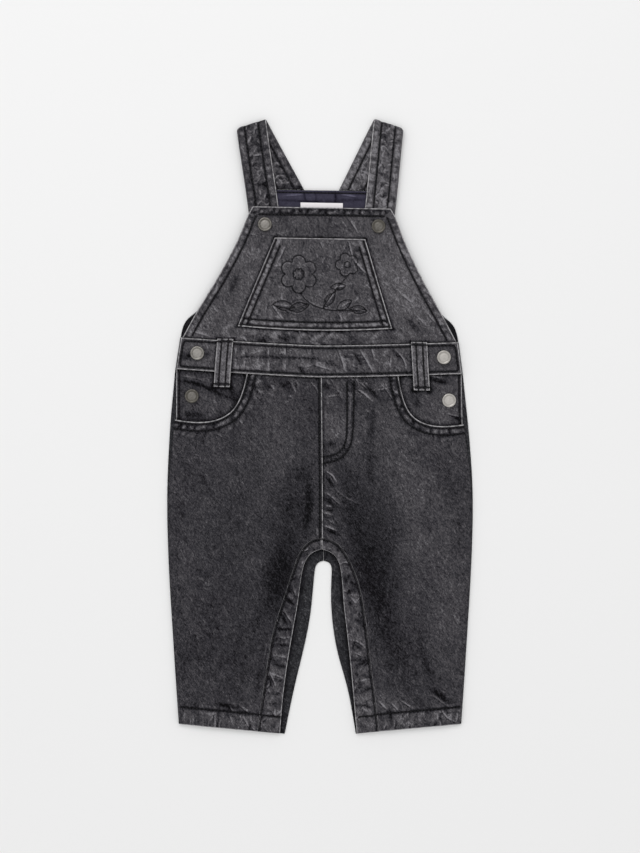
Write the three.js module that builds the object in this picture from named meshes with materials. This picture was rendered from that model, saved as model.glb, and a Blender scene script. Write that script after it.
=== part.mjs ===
// A baby's denim dungarees, lying flat on their back with the front smoothed out on top.
// Millimetres, +Z up. +Y runs to the shoulders and +X to the right as seen from above, and the
// origin is on the table under the middle of the garment. Each outline is given for the right
// half, as heights y along the garment and distances x from its centre line, and mirrored.
import * as THREE from 'three';

// Thickness of the cloth, and the room left at seams and between layers
const CLOTH = 1.0; // one layer of denim
const BAND = 2.2; // waistband, two layers and a stiffener
const BACK_BAND = 1.8; // back waistband, pressed flatter
const STRAP = 1.8; // shoulder strap, two layers
const LOOP = 1.6; // belt loop, a folded strip
const POCKET = 1.2; // bib pocket with its turned edges
const GAP = 0.3; // between pieces
const HEM_RISE = 0.6; // how much a turned hem stands up

// Hems and seams
const BIB_HEM = 7;
const LEG_HEM = 14;
const STITCH_STEP = 1.5; // width of the slope at a hem's stitching
const CENTRE = GAP / 2; // half of the centre front and centre back seams

// Waistband, which curves up to the sides, and the waistline that the legs and bib are sewn to
const WAIST = { top: 68.6, bottom: 41.7, topHalf: 117.2, bottomHalf: 121, smile: 5, power: 1.3 };
const WAIST_LIFT = 0.5; // the band lies over the seam allowances of the legs
const BACK_WAIST_SIDE = 1.2; // how far the back band shows past the front one

// Bib: its sides from the cut corner down to the waistband
const BIB_CORNER = { x: 58.4, y: 185.5 };
const BIB_SIDE = [
  { x: 62.7, y: 178.2 },
  { x: 69.7, y: 159.8 },
  { x: 79.5, y: 139.4 },
  { x: 90.5, y: 119.0 },
  { x: 102.6, y: 98.6 },
  { x: 116.2, y: 74.0 },
];
const BIB_LEAN = 28; // degrees that its sides lean by, on average

// Bib pocket, set a little askew: its top and bottom edges, and how far the bottom one sags
const BIB_POCKET = {
  top: { y: 159.3, half: 38.3, shift: -1.3 },
  bottom: { y: 83.9, half: 65.4, shift: -3.8, sag: 2.6 },
};

// Back: its neck edge, the armhole down to the waist, and what is sewn inside the neck
const NECK = { half: 43.7, y: 200.6 };
const ARMHOLE = [
  { x: NECK.half, y: NECK.y },
  { x: 56.0, y: 173.0 },
  { x: 71.0, y: 142.0 },
  { x: 88.0, y: 115.0 },
  { x: 102.0, y: 97.5 },
  { x: 112.8, y: 90.8 },
  { x: 117.7, y: 84.0 },
];
const NECK_FACING = { topHalf: 41.6, bottomHalf: 50, depth: 38, curve: 5 };
const LABEL = { half: 18, top: 189.8, bottom: 167 };

// Straps: a straight strip folded over at the shoulder, its two halves leaning apart
const SHOULDER = { width: 25.8, peakX: 46.3, peakY: 260.9, frontLean: 7.0, backLean: 27.4, end: 157 };
const STRAP_REST = 2 * (CLOTH + GAP); // its front half passes over the back and its facing

// Side of the garment, from the waist to the hem: the back's edge, and the front leg's inside it
const SIDE = [
  { y: 46.5, back: WAIST.bottomHalf + BACK_WAIST_SIDE, front: WAIST.bottomHalf },
  { y: 27.0, back: 124.0, front: 122.0 },
  { y: 3.8, back: 126.4, front: 122.6 },
  { y: -25.0, back: 128.4, front: 125.8 },
  { y: -54.0, back: 129.8, front: 128.6 },
  { y: -95.0, back: 129.4, front: 128.7 },
  { y: -136.0, back: 127.6, front: 127.0 },
  { y: -177.0, back: 125.0, front: 124.4 },
  { y: -218.0, back: 122.4, front: 121.8 },
  { y: -252.6, back: 120.0, front: 119.4 },
];

// Inseam, from the crotch to the hem: the seam that joins the front leg to its inseam band, the
// band's own edge, and the edge of the back leg that lies past it. The garment's middle does not
// lie quite straight here, and shift is how far each point of both legs lies to the right
const SEAM_SHIFT = 1.5;
const LEG_SEAM = [
  { x: CENTRE, y: -94.5, shift: SEAM_SHIFT },
  { x: 11.0, y: -97.8, shift: 1.6 },
  { x: 20.2, y: -109.0, shift: 2.2 },
  { x: 28.2, y: -129.0, shift: 3.2 },
  { x: 33.8, y: -149.0, shift: 2.4 },
  { x: 39.4, y: -172.0, shift: 0.2 },
  { x: 43.4, y: -200.0, shift: -0.8 },
  { x: 47.8, y: -230.0, shift: -1.2 },
  { x: 51.4, y: -258.8, shift: -1.6 },
];
const BAND_EDGE = [
  { x: CENTRE, y: -104.2, shift: SEAM_SHIFT },
  { x: 9.2, y: -107.6, shift: 1.5 },
  { x: 14.8, y: -116.0, shift: 1.6 },
  { x: 17.6, y: -130.5, shift: 1.2 },
  { x: 19.4, y: -150.0, shift: 0.6 },
  { x: 22.4, y: -170.0, shift: 0 },
  { x: 26.6, y: -200.0, shift: -0.9 },
  { x: 30.0, y: -230.0, shift: -1.5 },
  { x: 32.6, y: -260.6, shift: -1.4 },
];
const BACK_EDGE = [
  { x: CENTRE, y: -114.2, shift: 3.0 },
  { x: 4.6, y: -115.4, shift: 3.1 },
  { x: 6.9, y: -119.4, shift: 3.0 },
  { x: 7.5, y: -127.0, shift: 2.4 },
  { x: 7.8, y: -145.0, shift: 1.2 },
  { x: 9.6, y: -165.0, shift: 0.8 },
  { x: 14.4, y: -191.0, shift: 0 },
  { x: 23.0, y: -223.0, shift: 0.8 },
  { x: 30.2, y: -261.0, shift: 0.2 },
];
const CROTCH_SHARE = 0.4; // the centre seam's share of a leg's inner edge
const ARCH_SHARE = { front: 0.5, back: 0.45 }; // where the arch under it has straightened out

// Hip pocket: the scooped edge of the leg, and the facing that shows inside it. The waist has
// slipped a little to the right, and shift is how far each point went with it
const SCOOP = [
  { x: 64.3, y: 43.6, shift: 3.0 },
  { x: 68.0, y: 27.0, shift: 2.6 },
  { x: 74.5, y: 13.0, shift: 1.8 },
  { x: 84.5, y: 5.4, shift: 1.0 },
  { x: 97.0, y: 2.2, shift: 0.4 },
  { x: 110.0, y: 2.2, shift: 0 },
  { x: 122.4, y: 3.8, shift: 0 },
];
const FACING_INNER = [
  { x: 54.0, y: 43.1 },
  { x: 58.0, y: 22.0 },
  { x: 69.0, y: 2.0 },
];
const FACING_BOTTOM = [
  { x: 69.0, y: 2.0 },
  { x: 84.0, y: -4.5 },
  { x: 101.0, y: -6.5 },
  { x: 121.6, y: -4.5 },
];

// Belt loops and press fasteners, which the waist took with it
const BELT_LOOP = {
  width: 13.6,
  top: { x: 82.0, y: 72.9 },
  bottom: { x: 84.8, y: 32.1 },
  shift: 2.3,
  end: 4,
  ramp: 8,
};
const SNAP = { radius: 6, height: 2.1, edge: 0.5, rim: 1.1, dish: 0.25 };
const SNAP_PLACES = [
  { name: 'bib', x: 48.1, y: 170.4, shift: 0 },
  { name: 'waist', x: 104.4, y: 60.4, shift: 1.1 },
  { name: 'side', x: 109.0, y: 24.0, shift: 1.1 },
];

// How the front lies over the back: the height of its underside at its edges, and how much
// more it stands up away from them
const LIE = [
  { y: 150, low: 4.7, crown: 0.0 },
  { y: 105, low: 3.0, crown: 0.4 },
  { y: 75, low: 2.3, crown: 0.8 },
  { y: 42, low: 1.9, crown: 1.1 },
  { y: 5, low: 1.3, crown: 2.0 },
  { y: -60, low: 1.3, crown: 2.8 },
  { y: -180, low: 1.3, crown: 2.6 },
  { y: -235, low: 1.3, crown: 1.7 },
  { y: -262, low: 1.3, crown: 1.0 },
];
const ROLL = { outer: 22, inner: 26 }; // how far in from an edge the crown reaches its height
const BIB_ROLL = [
  { y: 110, half: 175 }, // above the waist the front's edges don't roll down
  { y: 78, half: 119 },
];
const POCKET_SWELL = { from: 42, to: 55, fade: -45, full: -12 }; // where the leg lies over the facing

// The largest folds of the front, ridges up and troughs down, each along a line
const FOLDS = [
  { x1: -17, y1: -80, x2: -50, y2: -168, rise: -0.7, spread: 9 },
  { x1: 20, y1: -86, x2: 50, y2: -168, rise: -0.7, spread: 9 },
  { x1: 40, y1: 24, x2: 47, y2: -50, rise: -0.5, spread: 8 },
  { x1: 62, y1: 20, x2: 74, y2: -70, rise: 0.45, spread: 11 },
  { x1: 92, y1: -40, x2: 98, y2: -190, rise: 0.4, spread: 15 },
  { x1: -96, y1: -30, x2: -84, y2: -150, rise: 0.35, spread: 16 },
  { x1: -34, y1: 10, x2: -24, y2: -60, rise: -0.35, spread: 11 },
  { x1: -112, y1: -150, x2: -70, y2: -205, rise: -0.35, spread: 12 },
  { x1: 84, y1: -175, x2: 108, y2: -232, rise: -0.4, spread: 9 },
];

// The garment was laid down a little askew: its right side hangs lower from the bib to the
// hips, and its middle strays to one side by a little that changes along its length
const ASKEW = { slope: 0.017, from: -110, full: 0, until: 188, gone: 250 };
const STRAY = [
  { y: 262, x: 0 },
  { y: 180, x: 1.5 },
  { y: 80, x: -0.4 },
  { y: 45, x: -0.8 },
  { y: -60, x: 0 },
  { y: -262, x: 0 },
];

// How many parts each panel's grid has
const GRID = {
  backBib: { cols: 12, rows: 10 },
  backLeg: { cols: 10, crotchRow: 7, archRows: 4, rows: 8 },
  neckFacing: { cols: 10, rows: 3 },
  label: { cols: 4, rows: 2 },
  strap: { cols: 4, front: 12, bend: 6, back: 8 },
  frontBib: { cols: 12, rows: 12 },
  bibPocket: { cols: 12, rows: 9 },
  waistband: { cols: 32, rows: 3 },
  frontLeg: { waistCols: 8, scoopCols: 10, crotchRow: 9, archRows: 5, rows: 11 },
  inseamBand: { cols: 3 },
  pocketFacing: { cols: 8, rows: 6 },
  beltLoop: { cols: 3, rows: 12 },
  snap: 16,
};

const { clamp, lerp, smoothstep, degToRad } = THREE.MathUtils;
const xy = (x, y) => new THREE.Vector2(x, y);
const ROUNDING = 1e-9;

// A column of a table at a height, easing from row to row; rows run from high y to low y
function columnAt(rows, y, column) {
  const below = rows.findIndex((row) => row.y <= y);
  if (below === 0) return rows[0][column];
  if (below < 0) return rows[rows.length - 1][column];
  const [a, b] = [rows[below - 1], rows[below]];
  return lerp(a[column], b[column], smoothstep(a.y - y, 0, a.y - b.y));
}

// How much higher the waistline is away from the middle
const waistRise = (x) => WAIST.smile * (Math.abs(x) / WAIST.bottomHalf) ** WAIST.power;
const bibBottom = (x) => xy(x, WAIST.top + waistRise(x) + GAP);
const legTop = (x) => xy(x, WAIST.bottom + waistRise(x) - GAP);

function foldHeight(x, y) {
  let height = 0;
  for (const fold of FOLDS) {
    const [dx, dy] = [fold.x2 - fold.x1, fold.y2 - fold.y1];
    const along = clamp(((x - fold.x1) * dx + (y - fold.y1) * dy) / (dx * dx + dy * dy), 0, 1);
    const away = Math.hypot(x - fold.x1 - along * dx, y - fold.y1 - along * dy);
    height += fold.rise * Math.exp(-((away / fold.spread) ** 2));
  }
  return height;
}

// Height of the underside of the front cloth above the table
function lie(x, y) {
  const aside = Math.abs(x);
  const half = y > SIDE[0].y ? columnAt(BIB_ROLL, y, 'half') : columnAt(SIDE, y, 'front');
  const edge = columnAt(BAND_EDGE, y, 'x') + Math.sign(x) * columnAt(BAND_EDGE, y, 'shift');
  const inside = Math.max(y - BAND_EDGE[0].y, aside - edge);
  const open = smoothstep(half - aside, 0, ROLL.outer) * smoothstep(inside, 0, ROLL.inner);
  return columnAt(LIE, y, 'low') + (columnAt(LIE, y, 'crown') + foldHeight(x, y)) * open;
}

// How much the leg is lifted by the pocket facing under it
function pocketLift(x, y) {
  const over = smoothstep(Math.abs(x), POCKET_SWELL.from, POCKET_SWELL.to);
  return (CLOTH + GAP) * over * smoothstep(y, POCKET_SWELL.fade, POCKET_SWELL.full);
}

// A point of the smoothed-out garment, where it really lies on the table
function settle(x, y, z) {
  const hangs = smoothstep(y, ASKEW.from, ASKEW.full) * (1 - smoothstep(y, ASKEW.until, ASKEW.gone));
  return new THREE.Vector3(x + columnAt(STRAY, y, 'x'), y - ASKEW.slope * x * hangs, z);
}

// Boundaries: each gives the point at a share from 0 to 1 of its run
const through = (rows, side = 1) => {
  const curve = new THREE.SplineCurve(rows.map(({ x, y, shift = 0 }) => xy(x + side * shift, y)));
  return (t) => curve.getPointAt(t);
};
const sideSeam = (start, column, fromRow) =>
  through([start, ...SIDE.slice(fromRow).map((row) => xy(row[column], row.y))]);
const straight = (from, to) => (t) => from.clone().lerp(to, t);
const joined = (first, share, second) => (t) =>
  t < share ? first(t / share) : second((t - share) / (1 - share));
const mirrored = (edge) => (t) => edge(t).multiply(xy(-1, 1));

// A flat panel between four boundaries: u runs from the inner to the outer one and v from the
// top down; the top and bottom are straight where none is given
function panelBetween({ inner, outer, top, bottom }) {
  const across = (u, v) => inner(v).lerp(outer(v), u);
  const bow = (edge, u, v) => (edge ? edge(u).sub(across(u, v)) : xy(0, 0));
  return (u, v) => across(u, v).add(bow(top, u, 0).lerp(bow(bottom, u, 1), v));
}

// Where the lines of a grid run: each pair gives where a stretch starts and its number of steps
function cuts(...stretches) {
  const places = stretches.flatMap(([from, steps], k) => {
    const to = stretches[k + 1]?.[0] ?? 1;
    return Array.from({ length: steps }, (_, i) => lerp(from, to, i / steps));
  });
  return [...places, 1];
}
const evenly = (steps) => cuts([0, steps]);

// A closed wall of cloth through a grid of points; faces(i, j) gives its lower and upper point
function wall(cols, rows, faces) {
  const points = [];
  const index = [];
  const at = (i, j, upper) => 2 * (j * (cols + 1) + i) + upper;
  for (let j = 0; j <= rows; j++) {
    for (let i = 0; i <= cols; i++) {
      for (const point of faces(i, j)) points.push(point.x, point.y, point.z);
    }
  }
  const quad = (a, b, c, d) => index.push(a, b, c, a, c, d);
  for (let j = 0; j < rows; j++) {
    for (let i = 0; i < cols; i++) {
      quad(at(i, j, 1), at(i + 1, j, 1), at(i + 1, j + 1, 1), at(i, j + 1, 1));
      quad(at(i, j, 0), at(i, j + 1, 0), at(i + 1, j + 1, 0), at(i + 1, j, 0));
    }
  }
  for (let i = 0; i < cols; i++) {
    quad(at(i, 0, 0), at(i + 1, 0, 0), at(i + 1, 0, 1), at(i, 0, 1));
    quad(at(i + 1, rows, 0), at(i, rows, 0), at(i, rows, 1), at(i + 1, rows, 1));
  }
  for (let j = 0; j < rows; j++) {
    quad(at(0, j + 1, 0), at(0, j, 0), at(0, j, 1), at(0, j + 1, 1));
    quad(at(cols, j, 0), at(cols, j + 1, 0), at(cols, j + 1, 1), at(cols, j, 1));
  }
  const geometry = new THREE.BufferGeometry();
  geometry.setAttribute('position', new THREE.Float32BufferAttribute(points, 3));
  geometry.setIndex(index);
  return facingOut(geometry);
}

// The geometry with its faces turned outwards, whichever way its grid ran
function facingOut(geometry) {
  const position = geometry.getAttribute('position');
  const index = geometry.getIndex().array;
  const corner = (k) => new THREE.Vector3().fromBufferAttribute(position, index[k]);
  let volume = 0;
  for (let k = 0; k < index.length; k += 3) volume += corner(k).dot(corner(k + 1).cross(corner(k + 2)));
  if (volume < 0) {
    for (let k = 0; k < index.length; k += 3) [index[k + 1], index[k + 2]] = [index[k + 2], index[k + 1]];
  }
  geometry.computeVertexNormals();
  return geometry;
}

// A panel that lies flat: outline(u, v) gives its plan, cols and rows its grid lines (cols may
// change along v), under(x, y) the height of its underside and thick(u, v) its thickness; side
// is 1 on the right half and -1 on the left
function laidPanel({ outline, cols, rows, under, thick = () => CLOTH, side = 1 }) {
  const across = Array.isArray(cols) ? () => cols : cols;
  return wall(across(0).length - 1, rows.length - 1, (i, j) => {
    const [u, v] = [across(rows[j])[i], rows[j]];
    const { x, y } = outline(u, v);
    const low = under(side * x, y);
    return [low, low + thick(u, v)].map((z) => settle(side * x, y, z));
  });
}

// Back, flat on the table

function backBib() {
  const foot = bibBottom(ARMHOLE.at(-1).x + GAP);
  const outer = through([...ARMHOLE, foot]);
  const bottom = (u) => bibBottom(lerp(-foot.x, foot.x, u));
  const outline = panelBetween({ inner: mirrored(outer), outer, bottom });
  const { cols, rows } = GRID.backBib;
  return laidPanel({ outline, cols: evenly(cols), rows: evenly(rows), under: () => 0 });
}

function waistbandOutline(wider) {
  return (u, v) => {
    const x = lerp(-1, 1, u) * (lerp(WAIST.topHalf, WAIST.bottomHalf, v) + wider);
    return xy(x, lerp(WAIST.top, WAIST.bottom, v) + waistRise(x));
  };
}

function backWaistband() {
  const { cols, rows } = GRID.waistband;
  return laidPanel({
    outline: waistbandOutline(BACK_WAIST_SIDE),
    cols: evenly(cols),
    rows: evenly(rows),
    under: () => 0,
    thick: () => BACK_BAND,
  });
}

function backLeg(side) {
  const [seamTop, hip] = [legTop(CENTRE + side * SEAM_SHIFT), legTop(SIDE[0].back)];
  const edge = through(BACK_EDGE, side);
  const outline = panelBetween({
    inner: joined(straight(seamTop, edge(0)), CROTCH_SHARE, edge),
    outer: sideSeam(hip, 'back', 1),
    top: (u) => legTop(lerp(seamTop.x, hip.x, u)),
  });
  const { cols, crotchRow, archRows, rows } = GRID.backLeg;
  const down = cuts([0, crotchRow], [CROTCH_SHARE, archRows], [ARCH_SHARE.back, rows]);
  return laidPanel({ outline, cols: evenly(cols), rows: down, under: () => 0, side });
}

function neckFacing() {
  const outline = (u, v) => {
    const aside = lerp(-1, 1, u);
    const drop = NECK_FACING.depth - NECK_FACING.curve * aside ** 2;
    return xy(aside * lerp(NECK_FACING.topHalf, NECK_FACING.bottomHalf, v), NECK.y - GAP - drop * v);
  };
  const { cols, rows } = GRID.neckFacing;
  return laidPanel({ outline, cols: evenly(cols), rows: evenly(rows), under: () => CLOTH + GAP });
}

function neckLabel() {
  const outline = (u, v) => xy(lerp(-LABEL.half, LABEL.half, u), lerp(LABEL.top, LABEL.bottom, v));
  const { cols, rows } = GRID.label;
  return laidPanel({ outline, cols: evenly(cols), rows: evenly(rows), under: () => 2 * (CLOTH + GAP) });
}

// Straps

// A strap's strands run up from behind the bib, round the bend and down to the neck edge. The
// bend turns about the fold line, so a strand that meets it at a slope slides along it too
function strap(side) {
  const lean = (angle) => xy(Math.sin(degToRad(angle)), Math.cos(degToRad(angle)));
  const up = lean(SHOULDER.frontLean);
  const down = lean(SHOULDER.backLean).negate();
  const outward = lean((SHOULDER.frontLean + SHOULDER.backLean) / 2);
  const foldLine = xy(outward.y, -outward.x);
  const bend = STRAP_REST / 2;
  const corner = xy(SHOULDER.peakX, SHOULDER.peakY).addScaledVector(outward, -bend - STRAP / 2);
  const slide = up.dot(foldLine) / up.dot(outward);
  const grid = GRID.strap;
  const rows = grid.front + grid.bend + grid.back;
  return wall(grid.cols, rows, (i, j) => {
    const crosswise = (SHOULDER.width * i) / grid.cols;
    const angle = Math.PI * clamp((j - grid.front) / grid.bend, 0, 1);
    const along = crosswise / up.dot(outward) + slide * bend * angle;
    const strand = corner.clone().addScaledVector(foldLine, along);
    const toFront = (strand.y - SHOULDER.end) / up.y;
    const toNeck = (strand.y - NECK.y - GAP) / -down.y;
    if (j < grid.front) strand.addScaledVector(up, -toFront * (1 - j / grid.front));
    if (j > grid.front + grid.bend) strand.addScaledVector(down, toNeck * (1 - (rows - j) / grid.back));
    return [bend - STRAP / 2, bend + STRAP / 2].map((radius) => {
      const point = strand.clone().addScaledVector(outward, radius * Math.sin(angle));
      return settle(side * point.x, point.y, STRAP / 2 + bend + radius * Math.cos(angle));
    });
  });
}

// Front

function frontBib() {
  const height = BIB_CORNER.y - WAIST.top;
  const hem = BIB_HEM / height;
  const hemEnd = (BIB_HEM + STITCH_STEP) / height;
  const foot = bibBottom(BIB_SIDE.at(-1).x);
  const cornerCut = straight(xy(BIB_CORNER.x, BIB_CORNER.y), xy(BIB_SIDE[0].x, BIB_SIDE[0].y));
  const outer = joined(cornerCut, hemEnd, through([...BIB_SIDE.slice(0, -1), foot]));
  const bottom = (u) => bibBottom(lerp(-foot.x, foot.x, u));
  const outline = panelBetween({ inner: mirrored(outer), outer, bottom });
  const { cols, rows } = GRID.frontBib;
  const sideHem = (v) => BIB_HEM / (2 * outer(v).x * Math.cos(degToRad(BIB_LEAN)));
  const across = (v) => {
    const inHem = sideHem(v);
    const slope = (inHem * STITCH_STEP) / BIB_HEM;
    return cuts([0, 1], [inHem, 1], [inHem + slope, cols], [1 - inHem - slope, 1], [1 - inHem, 1]);
  };
  const turned = (u, v) => v <= hem || Math.min(u, 1 - u) <= sideHem(v) + ROUNDING;
  return laidPanel({
    outline,
    cols: across,
    rows: cuts([0, 1], [hem, 1], [hemEnd, rows]),
    under: lie,
    thick: (u, v) => CLOTH + (turned(u, v) ? HEM_RISE : 0),
  });
}

function bibPocket() {
  const { top, bottom } = BIB_POCKET;
  const outline = (u, v) => {
    const aside = lerp(-1, 1, u);
    const x = aside * lerp(top.half, bottom.half, v) + lerp(top.shift, bottom.shift, v);
    return xy(x, lerp(top.y, bottom.y, v) - bottom.sag * (1 - aside ** 2) * v);
  };
  const { cols, rows } = GRID.bibPocket;
  return laidPanel({
    outline,
    cols: evenly(cols),
    rows: evenly(rows),
    under: (x, y) => lie(x, y) + CLOTH + GAP,
    thick: () => POCKET,
  });
}

function frontWaistband() {
  const { cols, rows } = GRID.waistband;
  return laidPanel({
    outline: waistbandOutline(0),
    cols: evenly(cols),
    rows: evenly(rows),
    under: (x, y) => lie(x, y) + WAIST_LIFT,
    thick: () => BAND,
  });
}

// Rows of a front leg, with one at the crotch and one on each side of the hem's stitching
const LEG_LENGTH = SCOOP.at(-1).y - SIDE.at(-1).y;
const LEG_HEM_LINE = 1 - LEG_HEM / LEG_LENGTH;
const LEG_ROWS = cuts(
  [0, GRID.frontLeg.crotchRow],
  [CROTCH_SHARE, GRID.frontLeg.archRows],
  [ARCH_SHARE.front, GRID.frontLeg.rows],
  [LEG_HEM_LINE - STITCH_STEP / LEG_LENGTH, 1],
  [LEG_HEM_LINE, 1],
);

function frontLeg(side) {
  const { waistCols, scoopCols } = GRID.frontLeg;
  const scoopAt = waistCols / (waistCols + scoopCols);
  const [seamTop, pocketStart] = [CENTRE + side * SEAM_SHIFT, SCOOP[0].x + side * SCOOP[0].shift].map(legTop);
  const waistline = (t) => legTop(lerp(seamTop.x, pocketStart.x, t));
  const seam = through(LEG_SEAM, side);
  const outline = panelBetween({
    inner: joined(straight(seamTop, seam(0)), CROTCH_SHARE, seam),
    outer: sideSeam(SCOOP.at(-1), 'front', 3),
    top: joined(waistline, scoopAt, through([pocketStart, ...SCOOP.slice(1)], side)),
  });
  return laidPanel({
    outline,
    cols: cuts([0, waistCols], [scoopAt, scoopCols]),
    rows: LEG_ROWS,
    under: (x, y) => lie(x, y) + pocketLift(x, y),
    thick: (u, v) => CLOTH + (v >= LEG_HEM_LINE ? HEM_RISE : 0),
    side,
  });
}

// The band that faces the inseam, sewn along the leg's edge
function inseamBand(side) {
  const legEdge = through(LEG_SEAM, side);
  const nudge = 0.001;
  const seam = (t) => {
    const along = legEdge(Math.min(t + nudge, 1)).sub(legEdge(Math.max(t - nudge, 0))).normalize();
    const point = legEdge(t).add(xy(along.y, -along.x).multiplyScalar(GAP));
    return xy(Math.max(point.x, legEdge(0).x), point.y);
  };
  const outline = panelBetween({ inner: through(BAND_EDGE, side), outer: seam });
  const fromCrotch = LEG_ROWS.slice(GRID.frontLeg.crotchRow);
  return laidPanel({
    outline,
    cols: evenly(GRID.inseamBand.cols),
    rows: fromCrotch.map((v) => (v - CROTCH_SHARE) / (1 - CROTCH_SHARE)),
    under: lie,
    thick: () => CLOTH + HEM_RISE,
    side,
  });
}

function pocketFacing(side) {
  const [start, hip] = [legTop(FACING_INNER[0].x), legTop(WAIST.bottomHalf)];
  const corner = FACING_BOTTOM.at(-1);
  const outline = panelBetween({
    inner: through([start, ...FACING_INNER.slice(1)]),
    outer: straight(hip, xy(corner.x, corner.y)),
    top: (u) => legTop(lerp(start.x, hip.x, u)),
    bottom: through(FACING_BOTTOM),
  });
  const { cols, rows } = GRID.pocketFacing;
  return laidPanel({ outline, cols: evenly(cols), rows: evenly(rows), under: lie, side });
}

// Tops of what the belt loops and fasteners sit on
const bibTop = (x, y) => lie(x, y) + CLOTH;
const bandTop = (x, y) => lie(x, y) + WAIST_LIFT + BAND;
const facingTop = (x, y) => lie(x, y) + CLOTH;

// A strip that is sewn down on the facing and rises over the waistband
function beltLoop(side) {
  const { width, top, bottom, shift, end, ramp } = BELT_LOOP;
  const outline = (u, v) => {
    const middle = lerp(top.x, bottom.x, v) + side * shift;
    return xy(middle + (u - 0.5) * width, lerp(top.y, bottom.y, v));
  };
  const under = (x, y) => {
    const risen = smoothstep(y, bottom.y + end, bottom.y + end + ramp);
    return lerp(facingTop(x, y), bandTop(x, y), risen) + GAP;
  };
  const { cols, rows } = GRID.beltLoop;
  return laidPanel({ outline, cols: evenly(cols), rows: evenly(rows), under, thick: () => LOOP, side });
}

// Press fasteners

// The cap of a press fastener, with its turned rim and a shallow dish in the middle
function snapCap(side, place, seat) {
  const [x, y] = [side * place.x + place.shift, place.y];
  const { radius, height, edge, rim, dish } = SNAP;
  const profile = [
    xy(0, 0),
    xy(radius - edge, 0),
    xy(radius, edge),
    xy(radius, height - edge),
    xy(radius - edge, height),
    xy(radius - rim, height),
    xy(radius - rim - edge, height - dish),
    xy(0, height - dish / 2),
  ];
  const around = Array.from({ length: GRID.snap }, (_, k) => (2 * Math.PI * k) / GRID.snap);
  const heights = around.map((a) => seat(x + radius * Math.cos(a), y + radius * Math.sin(a)));
  const lies = settle(x, y, Math.max(seat(x, y), ...heights) + GAP);
  return new THREE.LatheGeometry(profile, GRID.snap).rotateX(Math.PI / 2).translate(...lies);
}

const SNAP_SEATS = { bib: bibTop, waist: bandTop, side: facingTop };

const dungarees = new THREE.Group();

const DENIM = new THREE.MeshStandardMaterial({ color: '#46464a', roughness: 0.95, metalness: 0 });
const DENIM_INSIDE = new THREE.MeshStandardMaterial({ color: '#2c2c2f', roughness: 0.95, metalness: 0 });
const NAVY_TWILL = new THREE.MeshStandardMaterial({ color: '#2b2b38', roughness: 0.9, metalness: 0 });
const WHITE_TAPE = new THREE.MeshStandardMaterial({ color: '#e6e2e3', roughness: 0.8, metalness: 0 });
const STEEL = new THREE.MeshStandardMaterial({ color: '#a8a39c', roughness: 0.35, metalness: 1 });

function add(name, geometry, material = DENIM) {
  const mesh = new THREE.Mesh(geometry, material);
  mesh.name = name;
  dungarees.add(mesh);
}

add('back_bib', backBib(), DENIM_INSIDE);
add('back_waistband', backWaistband(), DENIM_INSIDE);
add('neck_facing', neckFacing(), NAVY_TWILL);
add('neck_label', neckLabel(), WHITE_TAPE);
add('front_bib', frontBib());
add('bib_pocket', bibPocket());
add('front_waistband', frontWaistband());
for (const [word, side] of [['left', -1], ['right', 1]]) {
  add(`back_leg_${word}`, backLeg(side), DENIM_INSIDE);
  add(`strap_${word}`, strap(side));
  add(`front_leg_${word}`, frontLeg(side));
  add(`inseam_band_${word}`, inseamBand(side));
  add(`pocket_facing_${word}`, pocketFacing(side));
  add(`belt_loop_${word}`, beltLoop(side));
  for (const place of SNAP_PLACES) {
    add(`snap_${place.name}_${word}`, snapCap(side, place, SNAP_SEATS[place.name]), STEEL);
  }
}

export default dungarees;
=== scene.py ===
# %% [markdown]
# # A baby's washed-denim dungarees, laid flat
#
# The garment lies on its back with the front smoothed out on top. Every panel is already there as a
# plain solid at its real size. This lesson turns each solid into cloth: it is divided finely, then
# the sewing, the puckers that washing leaves beside it, and the creases are put in one by one.

# %% Start from the imported solids
import math
import random

import bmesh
import bpy
import numpy as np
from mathutils import Matrix, Vector, geometry, noise
from mathutils.bvhtree import BVHTree


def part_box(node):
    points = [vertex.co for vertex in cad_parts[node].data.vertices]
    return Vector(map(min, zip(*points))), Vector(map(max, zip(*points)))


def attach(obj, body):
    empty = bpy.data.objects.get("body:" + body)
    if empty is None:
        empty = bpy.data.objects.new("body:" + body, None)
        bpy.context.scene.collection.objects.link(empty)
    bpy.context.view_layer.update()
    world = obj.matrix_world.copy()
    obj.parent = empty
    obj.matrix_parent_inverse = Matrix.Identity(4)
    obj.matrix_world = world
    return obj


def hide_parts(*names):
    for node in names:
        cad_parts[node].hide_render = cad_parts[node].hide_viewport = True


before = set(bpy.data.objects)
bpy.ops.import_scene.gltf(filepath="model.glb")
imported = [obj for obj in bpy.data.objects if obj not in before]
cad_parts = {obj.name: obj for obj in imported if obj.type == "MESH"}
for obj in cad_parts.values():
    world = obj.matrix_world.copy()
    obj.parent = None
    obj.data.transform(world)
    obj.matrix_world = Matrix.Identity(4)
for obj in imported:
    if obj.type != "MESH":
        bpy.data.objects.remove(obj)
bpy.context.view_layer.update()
MM = 0.001
print("solids:", len(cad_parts))

# %% [markdown]
# ## Camera, floor and light
#
# The picture is a cut-out taken from straight above, so the camera looks straight down and up in the
# picture is +Y. One pixel is 0.85 mm, which sets how high the camera stands. The light is a white
# sky with a wide soft lamp beyond the shoulders, so that folds show but nearly no shadow falls.

# %% Camera straight above
PICTURE_HEIGHT = 853
MM_PER_PIXEL = 0.85
LENS = 85
SENSOR = 36

camera = bpy.data.objects.new("camera", bpy.data.cameras.new("camera"))
camera.data.lens = LENS
camera.data.sensor_width = SENSOR
camera.location.z = PICTURE_HEIGHT * MM_PER_PIXEL * MM * LENS / SENSOR
bpy.context.collection.objects.link(camera)
bpy.context.scene.camera = camera
bpy.context.scene.view_settings.view_transform = "Standard"
print("camera height:", round(camera.location.z, 3), "m")


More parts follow.
